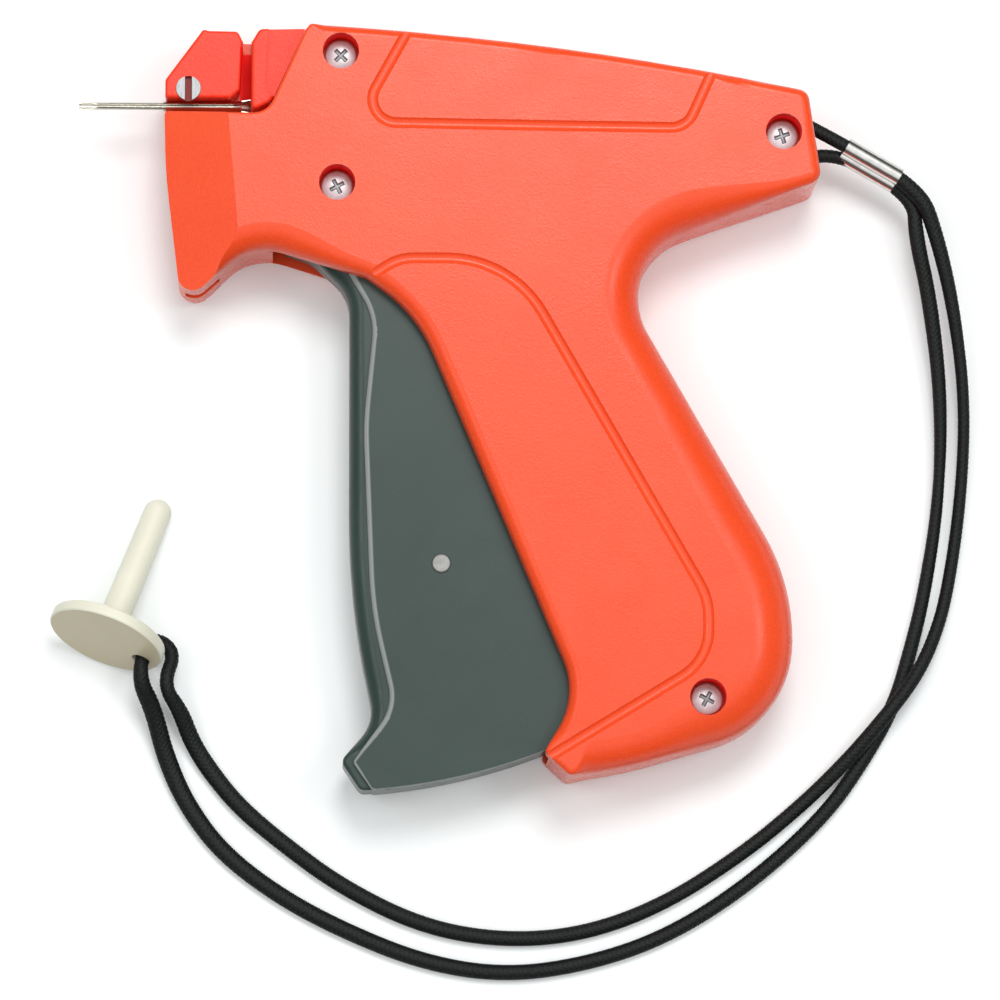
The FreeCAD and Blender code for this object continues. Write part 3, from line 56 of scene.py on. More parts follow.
# Corners of the lanyard's way: out of the housing, round the loop, through the cap and back.
CORD_ROUTE = [
    (0.05847, 0.04238, 0.01100),
    (0.06376, 0.04617, 0.00970),
    (0.07904, 0.03755, 0.00823),
    (0.07936, 0.03050, 0.00820),
    (0.08178, 0.02065, 0.00600),
    (0.08391, 0.00398, 0.00340),
    (0.08357, -0.01324, 0.00180),
    (0.08091, -0.02994, 0.00125),
    (0.07837, -0.03970, 0.00125),
    (0.07599, -0.04792, 0.00125),
    (0.07091, -0.05717, 0.00125),
    (0.06361, -0.06761, 0.00125),
    (0.05004, -0.07960, 0.00125),
    (0.03647, -0.08799, 0.00125),
    (0.02290, -0.09244, 0.00125),
    (0.00934, -0.09416, 0.00125),
    (-0.00423, -0.09193, 0.00125),
    (-0.01780, -0.08645, 0.00125),
    (-0.02832, -0.08080, 0.00125),
    (-0.03782, -0.07361, 0.00125),
    (-0.04392, -0.06539, 0.00125),
    (-0.04748, -0.05720, 0.00160),
    (-0.04933, -0.04982, 0.00460),
    (-0.05199, -0.04454, 0.00860),
    (-0.05028, -0.03736, 0.00654),
    (-0.04557, -0.03978, 0.00472),
    (-0.04778, -0.04564, 0.00679),
    (-0.04476, -0.05012, 0.00420),
    (-0.04307, -0.05468, 0.00200),
    (-0.04019, -0.05940, 0.00125),
    (-0.03510, -0.06573, 0.00125),
    (-0.02798, -0.07172, 0.00125),
    (-0.01780, -0.07926, 0.00125),
    (-0.00423, -0.08594, 0.00125),
    (0.00934, -0.08833, 0.00125),
    (0.02290, -0.08731, 0.00125),
    (0.03647, -0.08234, 0.00125),
    (0.05004, -0.07361, 0.00125),
    (0.06022, -0.06522, 0.00125),
    (0.06787, -0.05768, 0.00290),
    (0.07384, -0.05081, 0.00430),
    (0.07891, -0.04432, 0.00430),
    (0.08212, -0.03816, 0.00270),
    (0.08479, -0.02997, 0.00150),
    (0.08729, -0.01325, 0.00190),
    (0.08796, 0.00328, 0.00350),
    (0.08581, 0.01925, 0.00620),
    (0.08288, 0.03080, 0.00840),
    (0.07981, 0.03855, 0.01038),
    (0.06453, 0.04717, 0.01185),
    (0.05847, 0.05037, 0.01100),
]
# The short turn of the lanyard round the screw post inside the housing.
BIGHT_ROUTE = [
    (0.05787, 0.05037, 0.01100),
    (0.05203, 0.05050, 0.01100),
    (0.05203, 0.04222, 0.01100),
    (0.05787, 0.04238, 0.01100),
]
# The cord lies flatter or on its edge: its width as a share of its diameter, by metres along it.
CORD_WIDTHS = [
    (0.000, 1.00), (0.022, 1.00), (0.028, 1.16), (0.042, 1.16), (0.058, 1.02), (0.070, 0.86),
    (0.088, 1.00), (0.105, 1.10), (0.150, 1.10), (0.185, 1.12), (0.215, 1.22), (0.240, 1.28),
    (0.262, 1.38), (0.276, 1.34), (0.282, 1.05), (0.298, 1.05), (0.303, 1.26), (0.312, 1.32),
    (0.330, 1.24), (0.370, 1.14), (0.405, 1.06), (0.448, 1.08), (0.470, 0.96), (0.500, 0.88),
    (0.515, 0.92), (0.531, 1.10), (0.542, 1.20), (0.548, 1.12), (0.553, 1.00), (0.570, 1.00),
]
ROUTE_ORDER = 3                      # order of the spline that the corners lead
ROUTE_RESOLUTION = 24                # its points between two corners
BRAID_STRANDS = 8                    # strands of each hand round the cord
BRAID_CELL = 0.00085                 # length of one stitch along the cord
BRAID_RELIEF = 0.25                  # depth of the stitches as a share of the radius
BRAID_FULLNESS = 0.8                 # power that rounds a strand across, less is fuller
BRAID_STITCH_END = 0.55              # height of a stitch at its ends, 1 at its middle
BRAID_SIDES = 40
BRAID_STEP = 0.00024

SKY_LOW = 0.12                       # level of the room's light near the horizon
SKY_TOP = 1.30                       # and of the softbox overhead
SKY_EDGES = (0.55, 0.95)             # heights between which one passes into the other
FLOOR_GLOW = 0.12                    # what the floor shines by itself where it is seen directly
FLOOR_COLOUR = (0.87, 0.90, 0.90)
FLOOR_REACH = 12
# Lamps aimed at the tool: where they stand, the width of their discs and their power in watts.
LAMPS = {
    "key": ((0.08, 0.44, 1.10), 0.40, 5.2),
    "right": ((0.56, 0.08, 1.04), 0.30, 1.5),
    "left": ((-0.58, 0.08, 1.00), 0.30, 1.2),
}

# The screws' middles and the turns of their crosses in degrees. Heights are from the table.
SCREWS = [
    ((-0.01821, 0.05974), 45),
    ((-0.01880, 0.03745), 28),
    ((0.05613, 0.04636), 18),
    ((0.04313, -0.04880), 62),
]
SCREW_TOP = 0.0172                   # height of the domed head's middle
SCREW_DOME = 0.00035                 # how far the dome falls to the head's edge
SCREW_EDGE = 0.88                    # share of the radius where the edge's rounding begins
SCREW_EDGE_DROP = 0.00040            # and how far that falls
SCREW_HEAD_RADIUS = 0.0027
SCREW_HEAD_UNDER = 0.0155            # height of the head's underside
SCREW_FACE_LOWEST = 0.0160           # faces above this height belong to the head's upper side
SCREW_SHANK_RADIUS = 0.00125
SCREW_SHANK_END = 0.0039
SCREW_SIDES = 96
SCREW_RINGS = 44                     # rings of faces from the head's middle to its edge
CROSS_REACH = 0.00135                # half the length of the cross
CROSS_HALF = 0.00026                 # half the width of its arms
CROSS_DEPTH = 0.00055
CROSS_SLOPE = 0.00016                # width of the slope from the head's face to its floor
CROSS_SHARE = 0.25                   # share of its depth where its painted shade begins

NOISE_RANGE = (0.3, 0.7)             # where a noise's values mostly lie
WHITE = (1, 1, 1)
HOUSING_DARK = (0.93, 0.079, 0.018)
HOUSING_LIGHT = (0.96, 0.090, 0.023)
HOUSING_SPECKLE = (0.90, 0.90, 0.90)
HOUSING_SPECKLE_RANGE = (0.35, 0.65)
HOUSING_SPECULAR = 0.30
# Painted shade on the nose and feed blocks, by less green.
NOSE_SHADE_SHARE = 0.62                    # green and specular of the nose, as a share of the housing's
RECESS_SHADE_RED = (0.98, 0.004, 0.002)    # painted shade: the plastic's deep red where light only reaches it through itself
RECESS_RADIUS = 0.00320              # how far that reaches round a screw
RECESS_EDGE = 0.0001
RECESS_RIM = (0.0212, 0.0218)        # heights between which it ends
RECESS_WALL = (0.3, 0.7)             # it is on walls, not on what faces up more than this
RECESS_ROUGHER = 0.45
# The feed slot, shaded as the recesses are: where it lies in x and y, and up to which height.
FEED_SLOT = ((-0.03520, -0.03325), (0.0498, 0.0612), 0.0230)
FEED_SLOT_EDGE = 0.00005
FEED_SLOT_SHARE = 0.95

TRIGGER_DARK = (0.034, 0.057, 0.049)
TRIGGER_LIGHT = (0.041, 0.067, 0.058)
TRIGGER_SPECKLE = (0.93, 0.93, 0.93)
TRIGGER_SPECULAR = 0.26
# Painted highlight along the trigger's front edge: its colour and the heights it spans.
TRIGGER_PAINTED_HIGHLIGHT = (0.300, 0.325, 0.315)
TRIGGER_HIGHLIGHT_FROM = (0.01622, 0.01632)  # heights between which the painted highlight on its edge begins
TRIGGER_HIGHLIGHT_TO = (0.01724, 0.01730)    # and ends
TRIGGER_WALL_SHARE = 0.35            # how much of that its upright walls have

CORD_DARK = (0.003, 0.0039, 0.0037)
CORD_LIGHT = (0.009, 0.0120, 0.0114)
CORD_SPECULAR = 0.24

# Metals: dark and light colour, least and greatest roughness, grain and metallic share.
METALS = {
    "needle_steel": ((0.50, 0.48, 0.42), (0.62, 0.60, 0.54), 0.16, 0.26, 0.0004, 1.0),
    "screw_steel": ((0.50, 0.53, 0.55), (0.66, 0.68, 0.69), 0.34, 0.44, 0.0006, 0.45),
    # The cross's darker steel is painted shade.
    "screw_cross_shade": ((0.20, 0.23, 0.24), (0.30, 0.33, 0.34), 0.40, 0.50, 0.0006, 0.45),
    "lock_steel": ((0.32, 0.33, 0.34), (0.44, 0.45, 0.46), 0.42, 0.52, 0.0003, 0.4),
    "drive_pin_steel": ((0.22, 0.22, 0.21), (0.31, 0.31, 0.30), 0.45, 0.55, 0.0003, 0.5),
    "pin_steel": ((0.44, 0.44, 0.43), (0.56, 0.56, 0.55), 0.30, 0.42, 0.0003, 1.0),
    "spring_steel": ((0.32, 0.32, 0.31), (0.46, 0.46, 0.44), 0.25, 0.36, 0.0003, 1.0),
    "ferrule_aluminium": ((0.54, 0.53, 0.51), (0.66, 0.65, 0.63), 0.14, 0.22, 0.0004, 1.0),
}
METAL_SCRATCH = 0.000012             # depth of a metal's scratches
SCREW_SCRATCH = 0.000004
NEEDLE_STRETCH = (0.15, 1, 1)        # how the grain is stretched: along the needle
LOCK_STRETCH = (4, 0.5, 1)           # and along the lock's slot
LOCK_SLOT = (0.0169, 0.0173)         # heights between which the painted shade of the lock's slot ends
# Painted shade and painted red reflection of the housing in the lock's slot.
SLOT_PAINTED_SHADE = (0.16, 0.012, 0.010)
DRIVE_PIN = (-0.00121, -0.02617)     # middle of the trigger's drive pin
DRIVE_PIN_FACE = 0.0013              # reach of its face
DRIVE_PIN_EDGE = 0.0015              # and where the painted shade on its edge is full
# Painted shade on the drive pin's edge.
PIN_EDGE_SHADE = (0.030, 0.034, 0.033)

# Plastics: dark and light colour, least and greatest roughness.
PLASTICS = {
    "mechanism_white": ((0.72, 0.70, 0.62), (0.78, 0.76, 0.69), 0.36, 0.46),
    "cap_cream": ((0.78, 0.77, 0.63), (0.84, 0.83, 0.69), 0.34, 0.42),
}
CAP_FACE = (-0.34, -0.89, 0.31)      # where the cap's disc faces, the face that gets painted shade
CAP_FACE_EDGE = (0.90, 0.97)         # cosines between which its face ends
CAP_FACE_SHADE = (0.62, 0.545, 0.365)


def added(name, data):
    """A new object in the scene."""
    thing = bpy.data.objects.new(name, data)
    bpy.context.scene.collection.objects.link(thing)
    return thing


# Camera, floor and light

def make_camera():
    data = bpy.data.cameras.new("camera")
    data.sensor_width = SENSOR_MILLIMETRES
    data.lens = SENSOR_MILLIMETRES * CAMERA_OFFSET.length / IMAGE_WIDTH_ON_TOP
    data.clip_start = CLIP_NEAR
    data.clip_end = CLIP_FAR
    camera = added("camera", data)
    back = CAMERA_OFFSET.normalized()
    right = Vector((0, 1, 0)).cross(back).normalized()
    turn = Matrix((right, back.cross(right), back)).transposed()
    camera.matrix_world = Matrix.Translation(VIEW_CENTRE + CAMERA_OFFSET) @ turn.to_4x4()
    bpy.context.scene.camera = camera


def make_lamps():
    for name, (place, size, power) in LAMPS.items():
        data = bpy.data.lights.new(name, "AREA")
        data.shape = "DISK"
        data.size = size
        data.energy = power
        lamp = added(name, data)
        lamp.location = place
        lamp.rotation_euler = (-Vector(place)).to_track_quat("-Z", "Y").to_euler()


def seen_directly(tree):
    """1 for what the camera sees, also in a mirror or through glass."""
    path = tree.nodes.new("ShaderNodeLightPath")
    seen = path.outputs["Is Camera Ray"]
    for name in ("Is Glossy Ray", "Is Transmission Ray"):
        either = tree.nodes.new("ShaderNodeMath")
        either.operation = "MAXIMUM"
        tree.links.new(seen, either.inputs[0])
        tree.links.new(path.outputs[name], either.inputs[1])
        seen = either.outputs[0]
    return seen


def make_world():
    """A softbox overhead in a dim room, by the height of the direction."""
    world = bpy.data.worlds.new("world")
    bpy.context.scene.world = world
    world.use_nodes = True
    tree = world.node_tree
    tree.nodes.clear()
    out = tree.nodes.new("ShaderNodeOutputWorld")
    sky = tree.nodes.new("ShaderNodeBackground")
    sky.inputs["Color"].default_value = (*WHITE, 1)
    direction = tree.nodes.new("ShaderNodeTexCoord")
    parts = tree.nodes.new("ShaderNodeSeparateXYZ")
    level = tree.nodes.new("ShaderNodeMapRange")
    level.interpolation_type = "SMOOTHSTEP"
    level.inputs["From Min"].default_value = SKY_EDGES[0]
    level.inputs["From Max"].default_value = SKY_EDGES[1]
    level.inputs["To Min"].default_value = SKY_LOW
    level.inputs["To Max"].default_value = SKY_TOP
    tree.links.new(direction.outputs["Generated"], parts.inputs[0])
    tree.links.new(parts.outputs["Z"], level.inputs["Value"])
    tree.links.new(level.outputs["Result"], sky.inputs["Strength"])
    tree.links.new(sky.outputs[0], out.inputs["Surface"])


def make_floor():
    mesh = bpy.data.meshes.new("floor")
    sides = [(-1, -1), (1, -1), (1, 1), (-1, 1)]
    mesh.from_pydata([(x * FLOOR_REACH, y * FLOOR_REACH, 0) for x, y in sides], [], [(0, 1, 2, 3)])
    floor = added("floor", mesh)
    material = bpy.data.materials.new("floor")
    material.use_nodes = True
    tree = material.node_tree
    tree.nodes.clear()
    out = tree.nodes.new("ShaderNodeOutputMaterial")
    plain = tree.nodes.new("ShaderNodeBsdfDiffuse")
    plain.inputs["Color"].default_value = (*FLOOR_COLOUR, 1)
    glow = tree.nodes.new("ShaderNodeEmission")
    glow.inputs["Strength"].default_value = FLOOR_GLOW
    both = tree.nodes.new("ShaderNodeAddShader")
    mix = tree.nodes.new("ShaderNodeMixShader")
    tree.links.new(plain.outputs[0], both.inputs[0])
    tree.links.new(glow.outputs[0], both.inputs[1])
    tree.links.new(seen_directly(tree), mix.inputs[0])
    tree.links.new(plain.outputs[0], mix.inputs[1])
    tree.links.new(both.outputs[0], mix.inputs[2])
    tree.links.new(mix.outputs[0], out.inputs["Surface"])
    mesh.materials.append(material)


# Materials

class Finish:
    """A surface built from a principled shader and noises in the object's own space."""

    def __init__(self, name, roughness, metallic=0.0):
        self.material = bpy.data.materials.new(name)
        self.material.use_nodes = True
        self.tree = self.material.node_tree
        self.shader = self.tree.nodes["Principled BSDF"]
        self.shader.inputs["Roughness"].default_value = roughness
        self.shader.inputs["Metallic"].default_value = metallic
        self.place = self.tree.nodes.new("ShaderNodeTexCoord").outputs["Object"]
        self.last_normal = None

    def specular(self, level):
        self.shader.inputs["Specular IOR Level"].default_value = level

    def coordinates(self):
        """The sockets of the place's X, Y and Z."""
        parts = self.tree.nodes.new("ShaderNodeSeparateXYZ")
        self.tree.links.new(self.place, parts.inputs[0])
        return parts.outputs

    def stretched(self, scale):
        mapping = self.tree.nodes.new("ShaderNodeMapping")
        mapping.inputs["Scale"].default_value = scale
        self.tree.links.new(self.place, mapping.inputs["Vector"])
        return mapping.outputs["Vector"]

    def noise(self, size, detail, stretch=None):
        """Noise whose grains are about size metres across."""
        node = self.tree.nodes.new("ShaderNodeTexNoise")
        node.inputs["Scale"].default_value = 1 / size
        node.inputs["Detail"].default_value = detail
        place = self.place if stretch is None else self.stretched(stretch)
        self.tree.links.new(place, node.inputs["Vector"])
        return node.outputs["Fac"]

    def span(self, value, low, high, to_low, to_high):
        """The value's range from low to high, brought to the other range and kept within it."""
        node = self.tree.nodes.new("ShaderNodeMapRange")
        node.inputs["From Min"].default_value = low
        node.inputs["From Max"].default_value = high
        node.inputs["To Min"].default_value = to_low
        node.inputs["To Max"].default_value = to_high
        self.tree.links.new(value, node.inputs["Value"])
        return node.outputs["Result"]

    def varied(self, noise, low, high):
        """Values from low to high as the noise goes."""
        return self.span(noise, *NOISE_RANGE, low, high)

    def colours(self, value, dark, light, between=NOISE_RANGE):
        """From the dark colour to the light one as the value passes between the two levels."""
        node = self.tree.nodes.new("ShaderNodeValToRGB")
        for element, level, colour in zip(node.color_ramp.elements, between, (dark, light)):
            element.position = level
            element.color = (*colour, 1)
        self.tree.links.new(value, node.inputs["Fac"])
        return node.outputs["Color"]

    def fill(self, sockets, values):
        """Each value goes into its socket: as a link from another socket, or as a number."""
        for socket, value in zip(sockets, values):
            if isinstance(value, bpy.types.NodeSocket):
                self.tree.links.new(value, socket)
            else:
                socket.default_value = value

    def mixed(self, factor, first, second, kind="MIX"):
        node = self.tree.nodes.new("ShaderNodeMix")
        node.data_type = "RGBA"
        node.blend_type = kind
        self.fill([node.inputs[0], node.inputs[6], node.inputs[7]], (factor, first, second))
        return node.outputs[2]

    def joined(self, kind, *values):
        """The values taken together by a mathematical step such as MULTIPLY or MAXIMUM."""
        result = values[0]
        for value in values[1:]:
            node = self.tree.nodes.new("ShaderNodeMath")
            node.operation = kind
            self.fill(node.inputs, (result, value))
            result = node.outputs[0]
        return result

    def height(self, low, high, to_low, to_high):
        return self.span(self.coordinates()["Z"], low, high, to_low, to_high)

    def inside(self, box, edge):
        """1 within the two ranges and below the height, 0 elsewhere."""
        places = self.coordinates()
        steps = [self.span(places["Z"], box[2], box[2] + edge, 1, 0)]
        for name, (low, high) in zip("XY", box):
            steps.append(self.span(places[name], low, low + edge, 0, 1))
            steps.append(self.span(places[name], high - edge, high, 1, 0))
        return self.joined("MULTIPLY", *steps)

    def beyond(self, centre, inner, outer):
        """1 within the inner distance from an upright line, falling to 0 at the outer one."""
        offset = self.tree.nodes.new("ShaderNodeVectorMath")
        offset.operation = "MULTIPLY_ADD"
        offset.inputs[1].default_value = (1, 1, 0)
        offset.inputs[2].default_value = (-centre[0], -centre[1], 0)
        self.tree.links.new(self.place, offset.inputs[0])
        length = self.tree.nodes.new("ShaderNodeVectorMath")
        length.operation = "LENGTH"
        self.tree.links.new(offset.outputs["Vector"], length.inputs[0])
        return self.span(length.outputs["Value"], inner, outer, 1, 0)

    def facing(self, direction, low, high, to_low, to_high):
        """How far the surface itself faces that way, spread from low to high."""
        place = self.tree.nodes.new("ShaderNodeTexCoord")
        along = self.tree.nodes.new("ShaderNodeVectorMath")
        along.operation = "DOT_PRODUCT"
        along.inputs[1].default_value = direction
        self.tree.links.new(place.outputs["Normal"], along.inputs[0])
        return self.span(along.outputs["Value"], low, high, to_low, to_high)

    def upright(self, low, high, to_low, to_high):
        """How far the surface itself faces up, spread from low to high."""
        return self.facing((0, 0, 1), low, high, to_low, to_high)

    def shaded(self, colour, factor, dark):
        """The colour where the factor is 1 and the dark one where it is 0."""
        return self.mixed(factor, (*dark, 1), colour)

    def colour(self, socket):
        self.tree.links.new(socket, self.shader.inputs["Base Color"])

    def roughness(self, socket):
        self.tree.links.new(socket, self.shader.inputs["Roughness"])

    def bump(self, height, depth, strength):
        """Bumps of that depth in metres, on top of the ones before."""
        node = self.tree.nodes.new("ShaderNodeBump")
        node.inputs["Strength"].default_value = strength
        node.inputs["Distance"].default_value = depth
        self.tree.links.new(height, node.inputs["Height"])
        if self.last_normal is not None:
            self.tree.links.new(self.last_normal, node.inputs["Normal"])
        self.last_normal = node.outputs["Normal"]
        self.tree.links.new(self.last_normal, self.shader.inputs["Normal"])


def recess_shade(finish):
    """Painted shade: 1 on the walls of the screws' recesses and most of 1 in the feed slot, 0
    elsewhere.
    """
    reach = (RECESS_RADIUS, RECESS_RADIUS + RECESS_EDGE)
    painted_shade = finish.joined(
        "MULTIPLY",
        finish.joined("MAXIMUM", *(finish.beyond(centre, *reach) for centre, _ in SCREWS)),
        finish.height(*RECESS_RIM, 1, 0),
        finish.upright(*RECESS_WALL, 1, 0),
    )
    slot = finish.joined("MULTIPLY", finish.inside(FEED_SLOT, FEED_SLOT_EDGE), FEED_SLOT_SHARE)
    return finish.joined("MAXIMUM", painted_shade, slot)


def housing_finish(name, share):
    """The moulded orange, with that share of its green and its specular level; less green is
    painted shade.
    """
    finish = Finish(name, 0.38)
    fine = finish.noise(size=0.00035, detail=3)
    dark, light = ((r, g * share, b) for r, g, b in (HOUSING_DARK, HOUSING_LIGHT))
    base = finish.colours(finish.noise(size=0.02, detail=2), dark, light)
    speckle = finish.colours(fine, HOUSING_SPECKLE, WHITE, HOUSING_SPECKLE_RANGE)
    painted_shade = recess_shade(finish)
    plain = finish.mixed(1.0, base, speckle, "MULTIPLY")
    # Painted shade: deep red on the recesses' walls and in the feed slot.
    finish.colour(finish.mixed(painted_shade, plain, (*RECESS_SHADE_RED, 1)))
    sheen = finish.varied(finish.noise(size=0.006, detail=4), low=0.23, high=0.31)
    rougher = finish.joined("MULTIPLY", painted_shade, RECESS_ROUGHER)
    finish.roughness(finish.joined("ADD", sheen, rougher))
    finish.specular(HOUSING_SPECULAR * share)
    finish.bump(fine, depth=0.000035, strength=0.8)
    finish.bump(finish.noise(size=0.0012, detail=2), depth=0.00002, strength=0.5)
    return finish.material


def trigger_finish():
    finish = Finish("trigger_grey", 0.40)
    base = finish.colours(finish.noise(size=0.025, detail=3), TRIGGER_DARK, TRIGGER_LIGHT)
    fine = finish.noise(size=0.0005, detail=3)
    speckle = finish.colours(fine, TRIGGER_SPECKLE, WHITE)
    # Painted highlight: a lighter line along the front edge of the trigger's plate.
    painted_highlight = finish.joined(
        "MULTIPLY",
        finish.height(*TRIGGER_HIGHLIGHT_FROM, 0, 1),
        finish.height(*TRIGGER_HIGHLIGHT_TO, 1, 0),
        finish.upright(0.0, 0.4, TRIGGER_WALL_SHARE, 1),
    )
    plain = finish.mixed(1.0, base, speckle, "MULTIPLY")
    finish.colour(finish.mixed(painted_highlight, plain, (*TRIGGER_PAINTED_HIGHLIGHT, 1)))
    finish.specular(TRIGGER_SPECULAR)
    finish.roughness(finish.varied(finish.noise(size=0.004, detail=4), low=0.28, high=0.36))
    finish.bump(fine, depth=0.00001, strength=0.5)
    return finish.material


def metal_finish(name, stretch=None, scratch=METAL_SCRATCH, slot=None, ring=None):
    """A metal of the table, with painted shade in a slot below a height or on a ring round its
    face.
    """
    dark, light, low, high, grain, metallic = METALS[name]
    finish = Finish(name, low, metallic)
    colour = finish.colours(finish.noise(grain * 3, 4, stretch), dark, light)
    if slot is not None:
        # Painted shade and red reflection in the slot.
        colour = finish.shaded(colour, finish.height(*slot, 0, 1), SLOT_PAINTED_SHADE)
    if ring is not None:
        # Painted shade round the edge of the face.
        colour = finish.shaded(colour, finish.beyond(*ring), PIN_EDGE_SHADE)
    finish.colour(colour)
    finish.roughness(finish.varied(finish.noise(grain, 3, stretch), low, high))
    finish.bump(finish.noise(grain, 3, stretch), scratch, strength=0.4)
    return finish.material


def plastic_finish(name, face=None):
    """A plastic of the table, with painted shade on the face that looks one way."""
    dark, light, low, high = PLASTICS[name]
    finish = Finish(name, low)
    colour = finish.colours(finish.noise(size=0.008, detail=3), dark, light)
    if face is not None:
        # Painted shade on the face that looks that way.
        colour = finish.shaded(colour, finish.facing(face, *CAP_FACE_EDGE, 1, 0), CAP_FACE_SHADE)
    finish.colour(colour)
    finish.roughness(finish.varied(finish.noise(size=0.003, detail=3), low, high))
    finish.bump(finish.noise(size=0.0006, detail=3), depth=0.00001, strength=0.5)
    return finish.material


def cord_finish():
    finish = Finish("cord_black", 0.5)
    fibre = finish.noise(size=0.00012, detail=3)
    finish.colour(finish.colours(fibre, CORD_DARK, CORD_LIGHT))
    finish.specular(CORD_SPECULAR)
    finish.bump(fibre, depth=0.00006, strength=0.8)
    return finish.material


def dress(material, *names):
    for name in names:
        mesh = NODES[name].data
        mesh.materials.clear()
        mesh.materials.append(material)


# The braided lanyard

def even_path(points, step):
    """Points at even distances along a smooth spline led by the route's corners."""
    data = bpy.data.curves.new("route", "CURVE")
    data.dimensions = "3D"
    data.resolution_u = ROUTE_RESOLUTION
    spline = data.splines.new("NURBS")
    spline.points.add(len(points) - 1)
    for corner, place in zip(spline.points, points):
        corner.co = (*place, 1)
    spline.order_u = ROUTE_ORDER
    spline.use_endpoint_u = True
    route = added("route", data)
    bpy.context.view_layer.update()
    seen = route.evaluated_get(bpy.context.evaluated_depsgraph_get())
    line = bpy.data.meshes.new_from_object(seen)
    places = np.array([v.co for v in line.vertices], float)
    bpy.data.objects.remove(route)
    bpy.data.meshes.remove(line)
    gaps = np.linalg.norm(np.diff(places, axis=0), axis=1)
    along = np.concatenate([[0], np.cumsum(gaps)])
    count = int(round(along[-1] / step)) + 1
    wanted = np.linspace(0, along[-1], count)
    return np.stack([np.interp(wanted, along, places[:, k]) for k in range(3)], axis=1), wanted


def braid_height(turn, along):
    """How high the braid stands, 0 to 1, where strands of two hands pass over and under."""
    first = BRAID_STRANDS * turn + along / BRAID_CELL
    second = BRAID_STRANDS * turn - along / BRAID_CELL
    over = (np.floor(first) + np.floor(second)) % 2 < 1
    across = np.where(over, first % 1, second % 1)
    length = np.where(over, second % 1, first % 1)
    stitch = BRAID_STITCH_END + (1 - BRAID_STITCH_END) * np.sin(math.pi * length)
    return np.sin(math.pi * across) ** BRAID_FULLNESS * stitch


def directions_round(tangent):
    """For each point two directions across the cord, carried along it without twist."""
    side = np.cross(tangent[0], [0.0, 0.0, 1.0])
    sides = []
    for direction in tangent:
        side = side - direction * np.dot(side, direction)
        side = side / np.linalg.norm(side)
        sides.append(side)
    sides = np.array(sides)
    return sides[:, None, :], np.cross(tangent, sides)[:, None, :]


def braided(name, route, material, widths=((0, 1), (1, 1))):
    """A braided cord along the route, as wide at each place as the widths say."""
    path, along = even_path(route, BRAID_STEP)
    tangent = np.gradient(path, axis=0)
    tangent /= np.linalg.norm(tangent, axis=1)[:, None]
    sides, ups = directions_round(tangent)
    turns = np.arange(BRAID_SIDES) / BRAID_SIDES
    height = braid_height(turns[None, :], along[:, None])
    radius = CORD_DIAMETER / 2 * (1 - BRAID_RELIEF * (1 - height))
    angle = 2 * math.pi * turns[None, :, None]
    offset = radius[:, :, None] * (np.cos(angle) * sides + np.sin(angle) * ups)
    level = np.cross(tangent, [0.0, 0.0, 1.0])
    level /= np.linalg.norm(level, axis=1)[:, None]
    wider = np.interp(along, *zip(*widths)) - 1
    sideways = (offset * level[:, None, :]).sum(axis=2, keepdims=True)
    offset += sideways * (wider[:, None] * level)[:, None, :]
    places = (path[:, None, :] + offset).reshape(-1, 3)
    faces = []
    for row in range(len(path) - 1):
        here = row * BRAID_SIDES
        there = here + BRAID_SIDES
        for column in range(BRAID_SIDES):
            after = (column + 1) % BRAID_SIDES
            faces.append((here + column, here + after, there + after, there + column))
    faces.append(tuple(reversed(range(BRAID_SIDES))))
    faces.append(tuple(range((len(path) - 1) * BRAID_SIDES, len(path) * BRAID_SIDES)))
    mesh = bpy.data.meshes.new(name)
    mesh.from_pydata(places.tolist(), [], faces)
    mesh.polygons.foreach_set("use_smooth", [True] * len(mesh.polygons))
    mesh.materials.append(material)
    return added(name, mesh), path


# The screws

def screw_top(reach, angle, turn):
    """Height of the domed head and share of the cross's depth, at a distance and angle."""
    share = reach / SCREW_HEAD_RADIUS
    edge = max(0.0, share - SCREW_EDGE) / (1 - SCREW_EDGE)
    dome = SCREW_TOP - SCREW_DOME * share ** 2
    dome -= SCREW_EDGE_DROP * (1 - math.sqrt(1 - min(edge, 1.0) ** 2))
    along = abs(reach * math.cos(angle - turn))
    across = abs(reach * math.sin(angle - turn))
    depth = 0.0
    for run, side in ((along, across), (across, along)):
        end = (CROSS_REACH - run) / CROSS_SLOPE
        flank = (CROSS_HALF - side) / CROSS_SLOPE + 0.5
        depth = max(depth, min(max(min(end, flank), 0.0), 1.0))
    return dome - CROSS_DEPTH * depth, depth


def screw_mesh():
    """The four screws: domed heads with crosses, and shanks."""
    rings = [(SCREW_HEAD_RADIUS * k / SCREW_RINGS, None) for k in range(1, SCREW_RINGS + 1)]
    rings += [
        (SCREW_HEAD_RADIUS, SCREW_HEAD_UNDER),
        (SCREW_SHANK_RADIUS, SCREW_HEAD_UNDER),
        (SCREW_SHANK_RADIUS, SCREW_SHANK_END),
    ]
    places = []
    faces = []
    for centre, turn in SCREWS:
        middle = len(places)
        places.append((*centre, screw_top(0.0, 0.0, 0.0)[0]))
        for reach, level in rings:
            for k in range(SCREW_SIDES):
                angle = 2 * math.pi * k / SCREW_SIDES
                z = screw_top(reach, angle, math.radians(turn))[0] if level is None else level
                x = centre[0] + reach * math.cos(angle)
                y = centre[1] + reach * math.sin(angle)
                places.append((x, y, z))
        here = middle + 1
        for k in range(SCREW_SIDES):
            faces.append((middle, here + k, here + (k + 1) % SCREW_SIDES))
        for _ in rings[1:]:
            there = here + SCREW_SIDES
            for k in range(SCREW_SIDES):
                after = (k + 1) % SCREW_SIDES
                faces.append((here + k, there + k, there + after, here + after))
            here = there
        faces.append(tuple(here + k for k in reversed(range(SCREW_SIDES))))
    mesh = bpy.data.meshes.new("screw_set")
    mesh.from_pydata(places, [], faces)
    return mesh


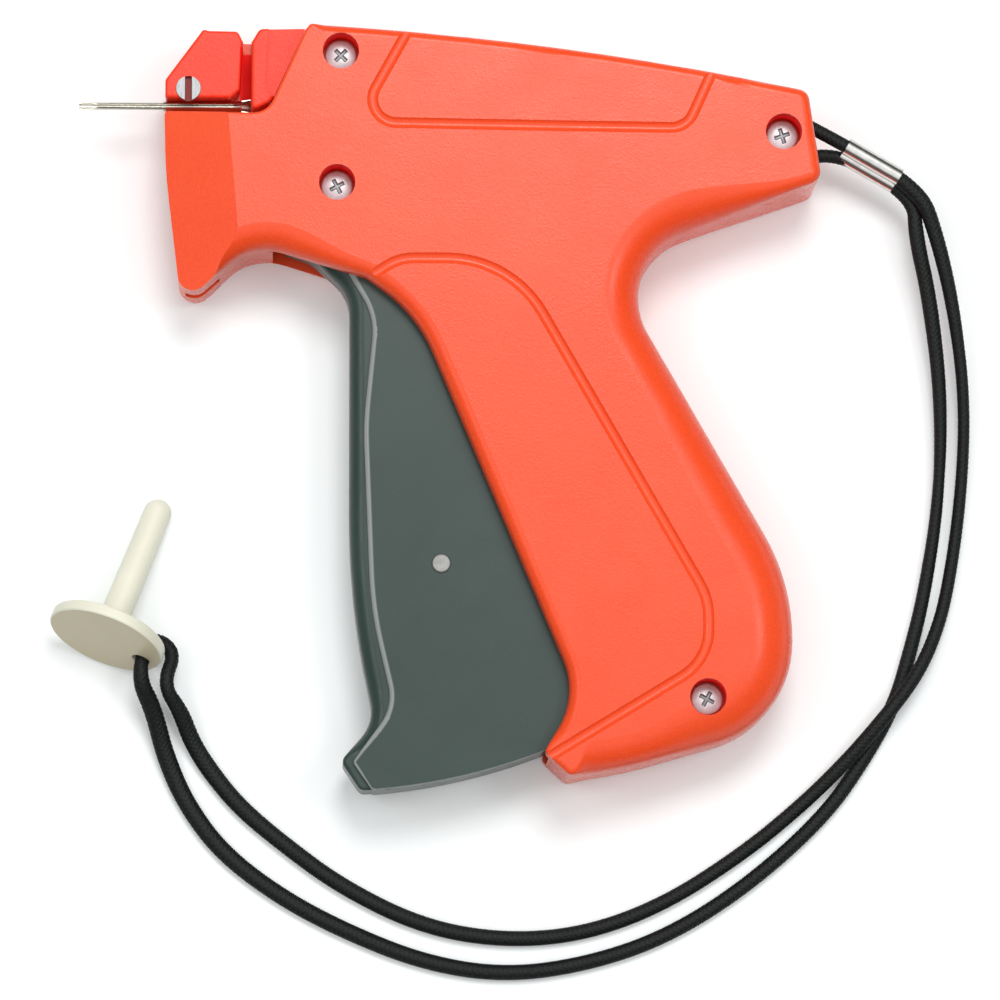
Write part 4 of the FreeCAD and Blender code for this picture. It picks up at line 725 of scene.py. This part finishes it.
def make_screws(material, cross_shade_material):
    mesh = screw_mesh()
    mesh.materials.append(material)
    mesh.materials.append(cross_shade_material)
    # Faces deep in a cross take the painted shade.
    for polygon in mesh.polygons:
        middle = polygon.center
        if middle.z <= SCREW_FACE_LOWEST:
            continue
        centre, turn = min(SCREWS, key=lambda screw: (middle.xy - Vector(screw[0])).length)
        offset = middle.xy - Vector(centre)
        angle = math.atan2(offset.y, offset.x)
        if screw_top(offset.length, angle, math.radians(turn))[1] > CROSS_SHARE:
            polygon.material_index = 1
    upper = [polygon.center.z > SCREW_FACE_LOWEST for polygon in mesh.polygons]
    mesh.polygons.foreach_set("use_smooth", upper)
    return added("screw_set", mesh)


bpy.context.scene.view_settings.view_transform = "Standard"
make_camera()
make_world()
make_floor()
make_lamps()

cord_black = cord_finish()
lanyard, lanyard_path = braided("lanyard_braid", CORD_ROUTE, cord_black, CORD_WIDTHS)
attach(lanyard, "housing")
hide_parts("lanyard_cord")
bight, _ = braided("lanyard_bight_braid", BIGHT_ROUTE, cord_black)
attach(bight, "housing")
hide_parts("lanyard_bight")

dress(housing_finish("housing_orange", 1), "left_housing_shell", "right_housing_shell")
# Painted shade: the nose and feed blocks take a darker copy of the orange.
dress(housing_finish("nose_orange_shaded", NOSE_SHADE_SHARE), "nose_block", "feed_guide_block")
dress(trigger_finish(), "trigger")
dress(metal_finish("needle_steel", NEEDLE_STRETCH), "needle")
screws = make_screws(
    metal_finish("screw_steel", scratch=SCREW_SCRATCH),
    metal_finish("screw_cross_shade", scratch=SCREW_SCRATCH),
)
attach(screws, "housing")
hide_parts("housing_screws")
dress(metal_finish("lock_steel", LOCK_STRETCH, slot=LOCK_SLOT), "needle_lock_screw")
dress(
    metal_finish("drive_pin_steel", ring=(DRIVE_PIN, DRIVE_PIN_FACE, DRIVE_PIN_EDGE)),
    "trigger_drive_pin",
)
dress(
    metal_finish("pin_steel"),
    "lever_pivot_pin", "slide_pin", "ejector_rod", "feed_wheel_axle", "pawl_pin",
)
dress(metal_finish("spring_steel"), "return_spring", "pawl_spring")
dress(
    plastic_finish("mechanism_white"),
    "drive_lever", "ejector_slide", "feed_wheel", "feed_pawl",
)
dress(plastic_finish("cap_cream", CAP_FACE), "needle_cap")
dress(metal_finish("ferrule_aluminium"), "ferrule")

spring = NODES["return_spring"]
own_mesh(spring)
